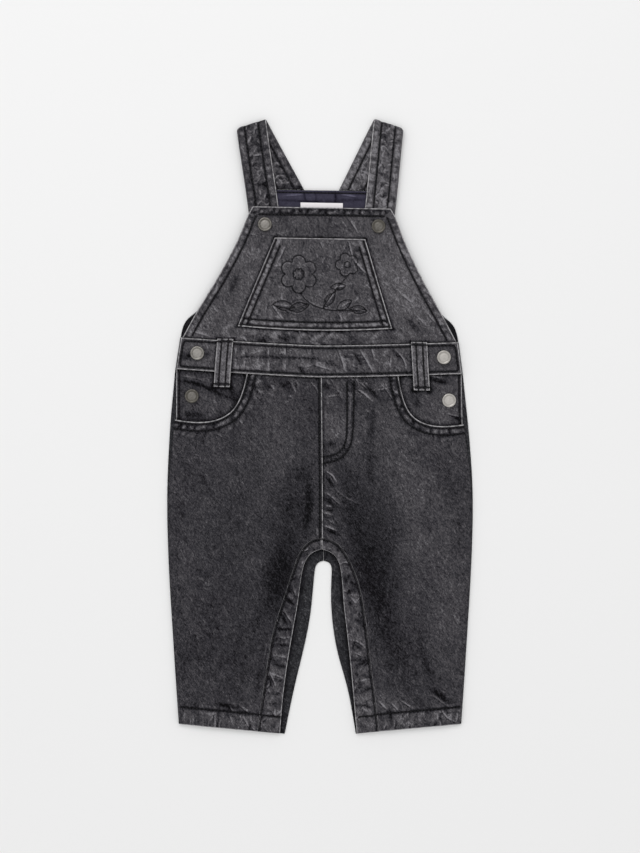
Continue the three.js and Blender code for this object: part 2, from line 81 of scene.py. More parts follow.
# %% Helpers for a node, a colour and a material
def add(tree, kind, inputs=(), **settings):
    """Add a node; inputs are values, or other nodes' sockets to link."""
    node = tree.nodes.new(kind)
    for name, value in settings.items():
        setattr(node, name, value)
    for name, value in dict(inputs).items():
        if isinstance(value, bpy.types.NodeSocket):
            tree.links.new(value, node.inputs[name])
        else:
            node.inputs[name].default_value = value
    return node


def colour(hex_code):
    """An sRGB hex colour as linear light."""
    parts = [int(hex_code[k:k + 2], 16) / 255 for k in (1, 3, 5)]
    return [c / 12.92 if c <= 0.04045 else ((c + 0.055) / 1.055) ** 2.4 for c in parts] + [1]


def material(name):
    """A new material, its node tree and its Principled shader."""
    made = bpy.data.materials.new(name)
    made.use_nodes = True
    return made, made.node_tree, made.node_tree.nodes["Principled BSDF"]


# %% Floor and light
SKY = 0.885
LAMP = {"place": (-0.35, 1.1, 1.3), "size": 0.9, "watts": 5.0}
FLOOR = {"half": 10, "below": 0.2}

floor_paint, tree, shader = material("matt_white_board")
shader.inputs["Base Color"].default_value = colour("#f0f0f0")
shader.inputs["Roughness"].default_value = 1
bm = bmesh.new()
bmesh.ops.create_grid(bm, x_segments=1, y_segments=1, size=FLOOR["half"])
floor_mesh = bpy.data.meshes.new("floor")
bm.to_mesh(floor_mesh)
bm.free()
floor = bpy.data.objects.new("floor", floor_mesh)
floor.data.materials.append(floor_paint)
floor.location.z = -FLOOR["below"] * MM
bpy.context.collection.objects.link(floor)

world = bpy.data.worlds.new("white_studio")
world.use_nodes = True
world.node_tree.nodes["Background"].inputs["Color"].default_value = (1, 1, 1, 1)
world.node_tree.nodes["Background"].inputs["Strength"].default_value = SKY
bpy.context.scene.world = world

lamp = bpy.data.objects.new("soft_lamp", bpy.data.lights.new("soft_lamp", "AREA"))
lamp.data.energy = LAMP["watts"]
lamp.data.size = LAMP["size"]
lamp.location = LAMP["place"]
lamp.rotation_euler = Vector(LAMP["place"]).to_track_quat("Z", "Y").to_euler()
bpy.context.collection.objects.link(lamp)
print("sky:", SKY, "and lamp:", lamp.data.energy, "W")

# %% [markdown]
# ## Washed denim
#
# Denim is a twill: dark warp threads over white weft, in slanting ribs. Stone washing rubs the dye
# off whatever stands up, so ridges, puckers and folded edges turn pale while the furrows beside
# them stay nearly black. One number from 0, unfaded, to 1, bare thread, therefore drives the
# colour. Most of it is noise at real sizes in millimetres. The rest is measured on the mesh and
# handed over as attributes:
#
# - `tone` is how faded the cloth is on the whole, with painted shade and shadows in it, and `wash`
#   what its relief adds to that
# - `edge` and `stitch` are how far away the nearest folded edge and row of stitches are
# - `seam` is how far to the left of a row a place is, and less than nothing on its right
# - `fold` is the same for a sharp crease, and `crest` is how sharp that crease is
#
# A distance with a side to it runs evenly through nothing, so a thin line stays sharp between
# vertices. The ribs of this twill are 0.5 mm apart, finer than a pixel: they are drawn at 1.3 mm.

# %% Patterns of the denim, in millimetres
TWILL_RIB = {"apart": 1.3, "slant": -30, "fade": 0.06}
BANDS_IN_A_WAVE = 3.2
DYE = [(0.0, "#070708"), (0.25, "#121114"), (0.5, "#333236"), (0.72, "#504e51"), (1.0, "#7f7d81")]
PALE_THREAD = "#aeacae"
MEASURED = ("tone", "wash", "edge", "stitch", "seam", "fold", "crest")
THREAD_AND_FURROW_SHADE = "#08080a"
PATTERNS = [
    # how wide each blot or streak is along and across, its slant, its detail, and its weight
    {"along": 40, "across": 40, "slant": 0, "detail": 1, "weight": 0.14},
    {"along": 7.0, "across": 4.0, "slant": -60, "detail": 1, "weight": 0.16},
    {"along": 2.8, "across": 1.3, "slant": -72, "detail": 2, "weight": 0.54},
    {"along": 2.4, "across": 1.1, "slant": -45, "detail": 2, "weight": 0.54},
    {"along": 0.9, "across": 0.8, "slant": 0, "detail": 1, "weight": 0.50},
]
BEND = {"cell": 5.0, "by": 3.0}
WASH_LINES = {"along": 15, "across": 5, "slant": -58, "width": 0.030, "weight": 0.15}
# a row's dark line is its black thread and the painted shadow of its furrow, wider than the thread
ROW = {"width": (0.42, 1.05), "reach": (1.2, 1.9), "dark": 0.92}
EDGE_WIDTH = (0.30, 1.10)
# a sharp crease: its pale line is wear, and the dark line a furrow below it is painted shadow
CREST = {"width": (0.10, 1.00), "light": 0.22, "furrow": 1.15, "dark": -0.32}
RELIEF = {"grain": 0.42, "rib": 0.06, "height": 0.7}
PATCHES = {
    # what comes and goes: along, across and slant of its patches, the noise it eases over, its share
    "lines": ((11, 11, 0), (0.44, 0.62), (0, 1)),
    "wear": ((2.6, 1.4, -55), (0.32, 0.66), (0.5, 1.35)),
    "edge": ((3, 3, 0), (0.32, 0.64), (0.30, 1)),
    "row": ((2, 2, 0), (0.32, 0.50), (0.62, 1)),
}


def spots(tree, where, along, across, slant, detail=2):
    """Noise stretched to spots of a size in millimetres, turned by a slant in degrees."""
    turned = add(tree, "ShaderNodeMapping", {"Vector": where, "Rotation": (0, 0, math.radians(slant)),
                                             "Scale": (along, across, across)}, vector_type="TEXTURE")
    return add(tree, "ShaderNodeTexNoise", {"Vector": turned.outputs[0], "Scale": 1,
                                            "Detail": detail, "Roughness": 0.6}).outputs["Fac"]


def patchy(tree, where, what):
    """The share of something that comes and goes in patches."""
    size, (low, high), (least, most) = PATCHES[what]
    return add(tree, "ShaderNodeMapRange", {
        "Value": spots(tree, where, *size), "From Min": low, "From Max": high,
        "To Min": least, "To Max": most}, interpolation_type="SMOOTHSTEP").outputs[0]


def thin_line(tree, offset, width, strength=1):
    """How strongly a line shows at an offset from it, eased from its strength to nothing."""
    away = add(tree, "ShaderNodeMath", {0: offset}, operation="ABSOLUTE").outputs[0]
    return add(tree, "ShaderNodeMapRange", {
        "Value": away, "From Min": width[0], "From Max": width[1],
        "To Min": strength, "To Max": 0}, interpolation_type="SMOOTHSTEP").outputs[0]


def mottled(tree, bent, where, mottle):
    """Blots and streaks of several sizes, with fine pale wrinkles in patches over them."""
    grain = 0.0
    for size in PATTERNS:
        blots = spots(tree, bent, size["along"], size["across"], size["slant"], size["detail"])
        centred = add(tree, "ShaderNodeMath", {0: blots, 1: 0.5}, operation="SUBTRACT").outputs[0]
        grain = add(tree, "ShaderNodeMath", {0: centred, 1: mottle * size["weight"], 2: grain},
                    operation="MULTIPLY_ADD").outputs[0]

    # The wrinkles follow the level lines of a wide noise
    level = spots(tree, bent, WASH_LINES["along"], WASH_LINES["across"], WASH_LINES["slant"], 1)
    level = add(tree, "ShaderNodeMath", {0: level, 1: 0.5}, operation="SUBTRACT").outputs[0]
    wrinkles = thin_line(tree, level, (0, WASH_LINES["width"]))
    wrinkles = add(tree, "ShaderNodeMath", {0: wrinkles, 1: patchy(tree, where, "lines")},
                   operation="MULTIPLY").outputs[0]
    return add(tree, "ShaderNodeMath", {0: wrinkles, 1: mottle * WASH_LINES["weight"], 2: grain},
               operation="MULTIPLY_ADD").outputs[0]


# %% Denim material
def denim(name, dye, pale, mottle=1.0):
    """Washed twill in a dye from dark to faded, with pale threads at its edges."""
    made, tree, shader = material(name)
    place = add(tree, "ShaderNodeTexCoord").outputs["Object"]
    where = add(tree, "ShaderNodeMapping", {"Vector": place, "Scale": (1 / MM, 1 / MM, 1 / MM)}).outputs[0]
    given = {key: add(tree, "ShaderNodeAttribute", attribute_name=key).outputs["Fac"] for key in MEASURED}

    drift = add(tree, "ShaderNodeTexNoise", {"Vector": where, "Scale": 1 / BEND["cell"]}).outputs["Color"]
    bent = add(tree, "ShaderNodeVectorMath", {0: drift, 1: (BEND["by"],) * 3, 2: where},
               operation="MULTIPLY_ADD").outputs[0]
    grain = mottled(tree, bent, where, mottle)
    fade = add(tree, "ShaderNodeMath", {0: grain, 1: given["tone"]}, operation="ADD").outputs[0]
    relief = add(tree, "ShaderNodeMath", {0: grain, 1: RELIEF["grain"]}, operation="MULTIPLY").outputs[0]

    # Slanting ribs
    across = add(tree, "ShaderNodeMapping", {
        "Vector": where, "Rotation": (0, 0, math.radians(TWILL_RIB["slant"]))}).outputs[0]
    ribs = add(tree, "ShaderNodeTexWave", {
        "Vector": across, "Scale": 1 / (TWILL_RIB["apart"] * BANDS_IN_A_WAVE),
        "Distortion": 1.2, "Detail Scale": 1.5}).outputs["Fac"]
    centred = add(tree, "ShaderNodeMath", {0: ribs, 1: 0.5}, operation="SUBTRACT").outputs[0]
    fade = add(tree, "ShaderNodeMath", {0: centred, 1: TWILL_RIB["fade"], 2: fade},
               operation="MULTIPLY_ADD").outputs[0]
    relief = add(tree, "ShaderNodeMath", {0: ribs, 1: RELIEF["rib"], 2: relief},
                 operation="MULTIPLY_ADD").outputs[0]

    # Wear on what was shaped, and each sharp crease: a pale line of wear and a painted shadow line below
    # it
    wear = patchy(tree, bent, "wear")
    fade = add(tree, "ShaderNodeMath", {0: given["wash"], 1: wear, 2: fade},
               operation="MULTIPLY_ADD").outputs[0]
    for below, amount in ((0, CREST["light"]), (CREST["furrow"], CREST["dark"])):
        offset = add(tree, "ShaderNodeMath", {0: given["fold"], 1: below}, operation="ADD").outputs[0]
        line = add(tree, "ShaderNodeMath", {0: thin_line(tree, offset, CREST["width"], amount), 1: wear},
                   operation="MULTIPLY").outputs[0]
        fade = add(tree, "ShaderNodeMath", {0: line, 1: given["crest"], 2: fade},
                   operation="MULTIPLY_ADD").outputs[0]

    shades = add(tree, "ShaderNodeValToRGB", {"Fac": fade})
    ramp = shades.color_ramp.elements
    for stop, hex_code in dye[1:-1]:
        ramp.new(stop).color = colour(hex_code)
    ramp[0].color = colour(dye[0][1])
    ramp[-1].color = colour(dye[-1][1])

    # Pale thread along the edges, and over it each row's black thread with its painted furrow shadow
    rubbed = add(tree, "ShaderNodeMath", {
        0: thin_line(tree, given["edge"], EDGE_WIDTH), 1: patchy(tree, where, "edge")},
        operation="MULTIPLY").outputs[0]
    worn = add(tree, "ShaderNodeMix", {"Factor": rubbed, "A": shades.outputs[0], "B": colour(pale)},
               data_type="RGBA").outputs[2]
    row = add(tree, "ShaderNodeMath", {
        0: thin_line(tree, given["seam"], ROW["width"], ROW["dark"]),
        1: thin_line(tree, given["stitch"], ROW["reach"])}, operation="MULTIPLY").outputs[0]
    row = add(tree, "ShaderNodeMath", {0: row, 1: patchy(tree, where, "row")},
              operation="MULTIPLY").outputs[0]
    sewn = add(tree, "ShaderNodeMix", {"Factor": row, "A": worn, "B": colour(THREAD_AND_FURROW_SHADE)},
               data_type="RGBA").outputs[2]
    tree.links.new(sewn, shader.inputs["Base Color"])

    bump = add(tree, "ShaderNodeBump", {"Height": relief, "Distance": RELIEF["height"] * MM})
    tree.links.new(bump.outputs[0], shader.inputs["Normal"])
    shader.inputs["Roughness"].default_value = 0.92
    shader.inputs["Specular IOR Level"].default_value = 0.06
    return made


washed_denim = denim("stone_washed_denim", DYE, PALE_THREAD)
# The wrong side is painted far darker than the face, for the shade the back lies in beneath the front.
SHADED_INSIDE_DYE = [(0.0, "#050506"), (0.25, "#0e0e10"), (0.5, "#1d1d20"), (0.72, "#343437"), (1.0, "#606063")]
shaded_inside_denim = denim("denim_wrong_side_shaded", SHADED_INSIDE_DYE, "#8d8d90")
NAVY_DYE = [(0.0, "#08070d"), (0.25, "#15131d"), (0.5, "#292733"), (0.72, "#3b3947"), (1.0, "#5d5b6c")]
navy_twill = denim("navy_cotton_twill", NAVY_DYE, "#6b6979", mottle=0.3)
print("nodes in the denim:", len(washed_denim.node_tree.nodes))

# %% [markdown]
# The label is a satin tape: white polyester woven so closely that only the cross ribs show. The
# fasteners are pressed nickel-plated caps with a satin finish: they mirror the white room dimly,
# some of them duller than others, which the attribute `shine` tells.

# %% Label and fastener materials
TAPE_RIB = 0.9
SOILING = {"along": 6, "across": 4, "slant": 0}
STAINS = {"along": 2.2, "across": 1.2, "slant": 35, "detail": 3}
STAIN_WEIGHT = 0.5
SCUFFS = {"along": 1.4, "across": 0.5, "slant": 20, "detail": 3}

white_tape, tree, shader = material("white_satin_tape")
place = add(tree, "ShaderNodeTexCoord").outputs["Object"]
where = add(tree, "ShaderNodeMapping", {"Vector": place, "Scale": (1 / MM, 1 / MM, 1 / MM)}).outputs[0]
ribs = add(tree, "ShaderNodeTexWave", {"Vector": where, "Scale": 1 / (TAPE_RIB * BANDS_IN_A_WAVE)},
           bands_direction="Y").outputs["Fac"]
white = add(tree, "ShaderNodeMix", {
    "Factor": spots(tree, where, **SOILING), "A": colour("#e4dfe2"), "B": colour("#f4f0f2")},
    data_type="RGBA").outputs[2]
tree.links.new(white, shader.inputs["Base Color"])
bump = add(tree, "ShaderNodeBump", {"Height": ribs, "Strength": 0.5, "Distance": 0.15 * MM})
tree.links.new(bump.outputs[0], shader.inputs["Normal"])
shader.inputs["Roughness"].default_value = 0.5

satin_nickel, tree, shader = material("satin_nickel_plate")
place = add(tree, "ShaderNodeTexCoord").outputs["Object"]
where = add(tree, "ShaderNodeMapping", {"Vector": place, "Scale": (1 / MM, 1 / MM, 1 / MM)}).outputs[0]
shine = add(tree, "ShaderNodeAttribute", attribute_name="shine").outputs["Fac"]
stains = add(tree, "ShaderNodeMath", {0: spots(tree, where, **STAINS), 1: 0.5},
             operation="SUBTRACT").outputs[0]
stained = add(tree, "ShaderNodeMath", {0: stains, 1: STAIN_WEIGHT, 2: shine},
              operation="MULTIPLY_ADD").outputs[0]
plate = add(tree, "ShaderNodeMix", {"Factor": stained, "A": colour("#54514c"), "B": colour("#c3bfba")},
            data_type="RGBA").outputs[2]
tree.links.new(plate, shader.inputs["Base Color"])
scuffs = add(tree, "ShaderNodeBump", {"Height": spots(tree, where, **SCUFFS),
                                      "Strength": 0.4, "Distance": 0.12 * MM})
tree.links.new(scuffs.outputs[0], shader.inputs["Normal"])
shader.inputs["Metallic"].default_value = 1
shader.inputs["Roughness"].default_value = 0.34
print("materials:", [made.name for made in bpy.data.materials])

# %% [markdown]
# ## Turning a solid into cloth
#
# A panel's solid is a coarse closed wall. A merged copy is joined back to quads and divided with
# Catmull-Clark, which rounds the folds between its rows. The rim is creased so that the cut edge
# stays where it was. An attribute called `top` is 1 on the upper face and 0 on the lower, and
# division spreads it over the wall between them, which later tells how to round the folded edge.

# %% Lines
RIM_ANGLE = math.radians(50)
CORNER = math.radians(45)
NEARLY_FLAT = math.radians(40)
LINE_STEP = 1.5
SIDE_STEP = 3
WELD = 1e-6


def runs(line):
    """How far along the line each of its points is."""
    return np.concatenate(([0], np.cumsum(np.linalg.norm(np.diff(line, axis=0), axis=1))))


def resampled(line, step, trim=(0, 0)):
    """Evenly spaced points along a line, less what is trimmed off its two ends."""
    run = runs(line)
    count = max(2, round((run[-1] - sum(trim)) / step) + 1)
    stops = np.linspace(trim[0], run[-1] - trim[1], count)
    return np.stack([np.interp(stops, run, column) for column in line.T], axis=1)


def softened(line, rounds=1):
    """The line as Catmull-Clark rounds it, with its ends kept."""
    for _ in range(rounds):
        corners = line.copy()
        corners[1:-1] = (line[:-2] + 6 * line[1:-1] + line[2:]) / 8
        middles = (line[:-1] + line[1:]) / 2
        line = np.empty((2 * len(corners) - 1, line.shape[1]))
        line[0::2] = corners
        line[1::2] = middles
    return line


def moved_in(line, inset):
    """The line moved to its left, which is inwards on an outline that runs anticlockwise."""
    ahead = np.gradient(line, axis=0)
    ahead /= np.linalg.norm(ahead, axis=1)[:, None]
    return line + inset * np.stack([-ahead[:, 1], ahead[:, 0]], axis=1)


def drawn(*points):
    """A smooth line through given points."""
    return resampled(softened(np.array(points, float), rounds=3), LINE_STEP)


def nearest(places, line):
    """How far each place is from a line, how far along that is, and its side: 1 is left."""
    start = line[:-1]
    step = np.diff(line, axis=0)
    length = np.linalg.norm(step, axis=1)
    offset = places[:, None] - start
    share = np.clip((offset * step).sum(-1) / length**2, 0, 1)
    away = np.linalg.norm(offset - share[..., None] * step, axis=-1)
    best = away.argmin(axis=1)
    every = np.arange(len(places))
    beside = step[best, 0] * offset[every, best, 1] - step[best, 1] * offset[every, best, 0]
    return away[every, best], (runs(line)[:-1] + share * length)[every, best], np.where(beside < 0, -1, 1)


def outline_of(node):
    """The sides of a node's upper outline, in millimetres, seen from above."""
    bm = merged(node)
    sides = [side[:, :2] for side in outline(upper_faces(bm))]
    bm.free()
    return sides


# %% A fine copy of a node
def upper_faces(bm):
    """A wall's upper faces: those reached from its highest face without crossing a rim."""
    facing_up = [face for face in bm.faces if face.normal.z > 0.5]
    seed = max(facing_up, key=lambda face: face.calc_center_median().z)
    found = {seed}
    waiting = [seed]
    while waiting:
        for edge in waiting.pop().edges:
            if edge.calc_face_angle() > RIM_ANGLE:
                continue
            for face in edge.link_faces:
                if face not in found:
                    found.add(face)
                    waiting.append(face)
    return found


def outline(faces):
    """The sides of the rim round some faces, anticlockwise, parted at its corners, in millimetres."""
    after = {}
    for face in faces:
        for loop in face.loops:
            if loop.edge.calc_face_angle() > RIM_ANGLE:
                after[loop.vert] = loop.link_loop_next.vert
    first = next(iter(after))
    round_trip = [first]
    while after[round_trip[-1]] != first:
        round_trip.append(after[round_trip[-1]])
    points = [vert.co / MM for vert in round_trip]
    count = len(points)
    ways = [points[(k + 1) % count] - points[k] for k in range(count)]
    corners = [k for k in range(count) if ways[k - 1].angle(ways[k]) > CORNER]
    sides = []
    for here, there in zip(corners, corners[1:] + [corners[0] + count]):
        stretch = [points[k % count] for k in range(here, there + 1)]
        sides.append(softened(np.array(stretch)))
    return sides


def merged(node):
    """A node's mesh with its loose triangles joined to quads."""
    bm = bmesh.new()
    bm.from_mesh(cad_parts[node].data)
    bmesh.ops.remove_doubles(bm, verts=bm.verts, dist=WELD)
    bmesh.ops.join_triangles(bm, faces=bm.faces, angle_face_threshold=NEARLY_FLAT,
                             angle_shape_threshold=math.pi, topology_influence=2.0)
    return bm


def fine_copy(node, levels):
    """A finely divided copy of a node, its upper rim's sides, and its upper area in square metres."""
    bm = merged(node)
    crease = bm.edges.layers.float.new("crease_edge")
    for edge in bm.edges:
        edge[crease] = float(edge.calc_face_angle() > RIM_ANGLE)
    top = bm.verts.layers.float.new("top")
    upper = upper_faces(bm)
    for face in upper:
        for vert in face.verts:
            vert[top] = 1.0
    sides = outline(upper)
    area = sum(face.calc_area() for face in upper)
    mesh = bpy.data.meshes.new(f"{node}_cloth")
    bm.to_mesh(mesh)
    bm.free()
    piece = bpy.data.objects.new(f"{node}_cloth", mesh)
    bpy.context.collection.objects.link(piece)
    divide = piece.modifiers.new("divide", "SUBSURF")
    divide.levels = divide.render_levels = levels
    fine = piece.evaluated_get(bpy.context.evaluated_depsgraph_get())
    piece.data = bpy.data.meshes.new_from_object(fine)
    piece.modifiers.clear()
    return piece, sides, area


# %% [markdown]
# ## What sewing and washing do to a panel
#
# Everything is worked out on the panel as it was cut: flat, in millimetres. For most panels that is
# how they lie. A strap is unrolled first. A row of stitches pulls in a furrow, the cloth between a
# row and an edge puckers into lumps, and creases are laid in one line of a table each.
# Each of them moves the surface and darkens or fades the dye to match, as wear does.

# %% A panel as it was cut
FAR = 99.0


def on_rim(mesh):
    """Which vertices lie on a wall's narrow side, its two corners included."""
    sharp = np.empty(len(mesh.edges))
    mesh.attributes["crease_edge"].data.foreach_get("value", sharp)
    ends = np.empty(2 * len(mesh.edges), int)
    mesh.edges.foreach_get("vertices", ends)
    top = np.empty(len(mesh.vertices))
    mesh.attributes["top"].data.foreach_get("value", top)
    found = (top > 0) & (top < 1)
    found[ends.reshape(-1, 2)[sharp > 0.5].ravel()] = True
    return found


class CutPanel:
    """A piece of cloth in millimetres: place is where each vertex was cut, and at where it lies."""

    def __init__(self, node, levels, tone, thick=1.0):
        self.node = node
        self.thick = thick
        self.piece, rims, self.area = fine_copy(node, levels)
        vertices = self.piece.data.vertices
        self.at = np.empty(3 * len(vertices))
        vertices.foreach_get("co", self.at)
        self.at = self.at.reshape(-1, 3) / MM
        self.normal = np.empty(3 * len(vertices))
        vertices.foreach_get("normal", self.normal)
        self.normal = self.normal.reshape(-1, 3)
        self.top = np.empty(len(vertices))
        self.piece.data.attributes["top"].data.foreach_get("value", self.top)
        self.rim = on_rim(self.piece.data)
        self.place = self.at[:, :2].copy()
        self.rims = rims
        self.sides = [rim[:, :2] for rim in rims]
        self.folded = False
        self.rise = np.zeros(len(vertices))
        self.tone = np.full(len(vertices), float(tone))
        self.wash = np.zeros(len(vertices))
        self.edge = np.full(len(vertices), FAR)
        self.stitch = np.full(len(vertices), FAR)
        self.seam = np.full(len(vertices), FAR)
        self.fold = np.full(len(vertices), FAR)
        self.crest = np.zeros(len(vertices))
        self.rows = []
        self.trees = {}

    def side(self, x, y, inset=0.0, trim=(0, 0)):
        """The side of the outline that passes nearest a place, moved inwards and trimmed."""
        spot = np.array([[x, y]])
        line = min(self.sides, key=lambda side: nearest(spot, side)[0][0])
        return resampled(moved_in(resampled(line, SIDE_STEP), inset), SIDE_STEP, trim)

    def near(self, line, reach):
        """The vertices within reach of a line: which, how far off, how far along, and the side."""
        close = (self.place > line.min(0) - reach) & (self.place < line.max(0) + reach)
        which = np.flatnonzero(close.all(axis=1))
        off, run, way = nearest(self.place[which], line) if len(which) else np.zeros((3, 0))
        kept = off < reach
        return which[kept], off[kept], run[kept], way[kept]

    def unroll(self):
        """Measure places across and along a folded strip, from its long side nearest the middle."""
        self.folded = True
        longest = sorted(self.rims, key=lambda rim: runs(rim)[-1])[-2:]
        guide = min(longest, key=lambda rim: abs(rim[:, 0]).mean())
        outer = self.at - (self.thick * (self.top < 0.5))[:, None] * self.normal
        fold = guide[:, 1].argmax()
        halves = []
        for part, before in ((guide[:fold + 1], 0), (guide[fold:], runs(guide)[fold])):
            off, run, _ = nearest(outer, part)
            above = abs(outer[:, 2] - np.interp(run, runs(part), part[:, 2]))
            halves.append((above, off, before + run))
        (above, *first), (below, *second) = halves
        self.place = np.where(above < below, first, second).T
        return self.place[:, 0].max(), runs(guide)[-1]

# %% [markdown]
# A row of stitches is a furrow of even depth. The lumps beside it are boxy, of uneven size and at
# uneven distances, because the cloth between two rows shrinks more than the thread does. An edge is
# rubbed pale, and where another piece lies on the cloth, the shadow along its edge is painted dark.

# %% Rows, edges, lumps and shades
WASH_PER_MM = {"trough": 1.2, "ridge": 0.7}
LUMP = {
    # shares of the step from lump to lump, of half the strip's width, and of the height asked for
    "along": (0.24, 0.46), "gap": (0.6, 1.35),
    "across": (0.55, 1.2), "stray": 0.4,
    "high": (0.6, 1.5), "sink": 0.4,
    "boxy": 2.6,
}
LUMP_EDGE = 0.6
RUMPLE = {"falloff": 0.9, "finer": 2.2, "layers": 3}


def eased(value, low, high):
    """0 up to low, 1 from high on, and a smooth rise between them."""
    share = np.clip((value - low) / (high - low), 0, 1)
    return share * share * (3 - 2 * share)


class SewnPanel(CutPanel):
    """A panel with what sewing does to it."""

    def shape(self, which, height, fading=1.0):
        """Raise or lower some vertices, and fade or darken them by a share of that."""
        self.rise[which] += height
        per_mm = np.where(height < 0, WASH_PER_MM["trough"], WASH_PER_MM["ridge"])
        self.wash[which] += per_mm * fading * height

    def worn(self, *lines, width=1.0, faint=0.0):
        """Folded edges, rubbed pale over a width, or less where faint goes towards 1."""
        for line in lines:
            which, off, _, _ = self.near(line, 4 * width)
            self.edge[which] = np.minimum(self.edge[which], off / width + faint)

    def sew(self, *lines, depth=0.28, pull=1.15, face=1, size=1.0):
        """Rows of stitches, of a size, in the furrow that they pull."""
        for line in lines:
            which, off, _, way = self.near(line, 4 * pull)
            closer = off < self.stitch[which]
            self.stitch[which[closer]] = off[closer]
            self.seam[which[closer]] = (off * way / size)[closer]
            self.shape(which, -depth * np.exp(-((off / pull) ** 2)), fading=0.5)
            self.rows.append((line, face, size))

    def pucker(self, line, start, end, step, height, slant=0.0, seed=1):
        """Lumps of uneven size and place along a line, between two distances from it."""
        which, off, run, _ = self.near(line, end)
        rise = np.full(len(which), -LUMP["sink"] * height)
        chance = random.Random(seed)
        centre, half = (start + end) / 2, (end - start) / 2
        spot = -step
        while spot < runs(line)[-1] + step:
            away = centre + half * chance.uniform(-LUMP["stray"], LUMP["stray"])
            along = (run - spot - slant * (off - away)) / (step * chance.uniform(*LUMP["along"]))
            across = (off - away) / (half * chance.uniform(*LUMP["across"]))
            shape = np.exp(-abs(along) ** LUMP["boxy"] - abs(across) ** LUMP["boxy"])
            rise += height * chance.uniform(*LUMP["high"]) * shape
            spot += step * chance.uniform(*LUMP["gap"])
        begun = eased(off, start - LUMP_EDGE, start + LUMP_EDGE)
        ended = eased(off, end - 2 * LUMP_EDGE, end)
        inside = begun * (1 - ended)
        self.shape(which, rise * inside)

    def paint_shadow_beside(self, *nodes, amount=0.26, reach=1.5):
        """Paint the shadow that the pieces lying on the cloth cast along their edges."""
        for node in nodes:
            for line in outline_of(node):
                which, off, _, _ = self.near(line, 3 * reach)
                self.tone[which] -= amount * np.exp(-((off / reach) ** 2))

    def shade(self, x, y, radius, amount):
        """A soft patch painted lighter by an amount, and darker where the amount is negative."""
        off = np.linalg.norm((self.place - (x, y)) / radius, axis=1)
        self.tone += amount * np.exp(-(off**2))

    def fade(self, line, reach, amount):
        """Fade a strip along a line evenly."""
        which, off, _, _ = self.near(line, reach)
        self.tone[which] += amount * (1 - eased(off, 0.8 * reach, reach))

    def rumple(self, height=0.10, size=9.0, seed=3):
        """Slight unevenness all over, as washed cloth has."""
        def bumps(x, y):
            spot = Vector((x / size, y / size, seed))
            return noise.fractal(spot, RUMPLE["falloff"], RUMPLE["finer"], RUMPLE["layers"])

        self.shape(slice(None), height * np.array([bumps(x, y) for x, y in self.place]), fading=0.5)

# %% [markdown]
# A crease is a ridge or a trough with a soft section, through given points, that tapers off
# at both ends. The narrowest ridges are finer than the mesh, so what is kept for those is how far
# each vertex is from the crease and on which side, and the material draws the line.

# %% Creases
SHARP_RIDGE = {"height": 0.40, "width": 2}
CREST_REACH = (1.4, 2.4)
TAPER = {
    # how far from each end it stops, as a share of the line, and its power: less is blunter
    "crease": (0.05, 0.6),
    "ridge": (0.02, 0.5),
}
WRINKLE = {"half": (0.3, 0.8), "bend": (-0.8, 0.8), "high": (0.5, 1.3), "wide": (0.8, 1.4)}


def tapered(run, line, least, power):
    """1 halfway along a line, and less towards both of its ends."""
    return np.sin(math.pi * np.clip(run / runs(line)[-1], least, 1 - least)) ** power


class CreasedPanel(SewnPanel):
    """A panel with what wear and washing do to it."""

    def crease(self, height, width, *points):
        """A soft ridge, or a trough where the height is negative, through given points."""
        line = drawn(*points)
        which, off, run, _ = self.near(line, 3 * width)
        taper = tapered(run, line, *TAPER["crease"])
        self.shape(which, height * taper * np.exp(-((off / width) ** 2)))
        if 0 < height and width < SHARP_RIDGE["width"]:
            self.ridge(line, min(height / SHARP_RIDGE["height"], 1))

    def ridge(self, line, strength):
        """A sharp pale line of wear with a painted shadow line below it, which tapers off at both ends."""
        which, off, run, way = self.near(line, CREST_REACH[1] + 1)
        crest = strength * tapered(run, line, *TAPER["ridge"]) * (1 - eased(off, *CREST_REACH))
        higher = (crest > self.crest[which]) | (self.fold[which] == FAR)
        kept = which[higher]
        # the side below the crease, where its painted shadow line goes
        shadow_side = 1 if line[-1, 0] >= line[0, 0] else -1
        self.crest[kept] = crest[higher]
        self.fold[kept] = (shadow_side * way * off)[higher]

    def wrinkles(self, count, height, length, angle, low, high, seed=1, width=0.9, spread=24):
        """Short creases scattered over a rectangle, most of them at about one angle."""
        chance = random.Random(seed)
        for _ in range(count):
            middle = np.array([chance.uniform(*ends) for ends in zip(low, high)])
            turn = math.radians(angle + chance.gauss(0, spread))
            ahead = np.array([math.cos(turn), math.sin(turn)]) * length * chance.uniform(*WRINKLE["half"])
            bend = np.array([-ahead[1], ahead[0]]) * chance.uniform(*WRINKLE["bend"])
            rise = height * chance.uniform(*WRINKLE["high"]) * chance.choice((-1, 1, 1))
            wide = width * chance.uniform(*WRINKLE["wide"])
            self.crease(rise, wide, middle - ahead, middle + bend, middle + ahead)

    def round_corner(self, corner, along, down, radius):
        """Round a corner, as seen from above, between two ways that lead from it."""
        basis = np.array([along, down], float).T
        basis /= np.linalg.norm(basis, axis=0)
        inwards = radius - (self.at[:, :2] - corner) @ np.linalg.inv(basis).T
        which = (inwards > 0).all(axis=1) & (inwards < 1.5 * radius).all(axis=1)
        inside = inwards[which]
        inside *= (inside.max(axis=1) / np.linalg.norm(inside, axis=1))[:, None]
        self.at[which, :2] = corner + (radius - inside) @ basis.T

# %% [markdown]
# A finished panel has its faces moved by what was shaped and its rim turned into a round edge. Then
# it gets its attributes and materials, and the stitches of its rows are made.

# %% The finished panel
EDGE_ROUND = 0.4
INNER_SHARE = 0.5
UPRIGHT = 0.3


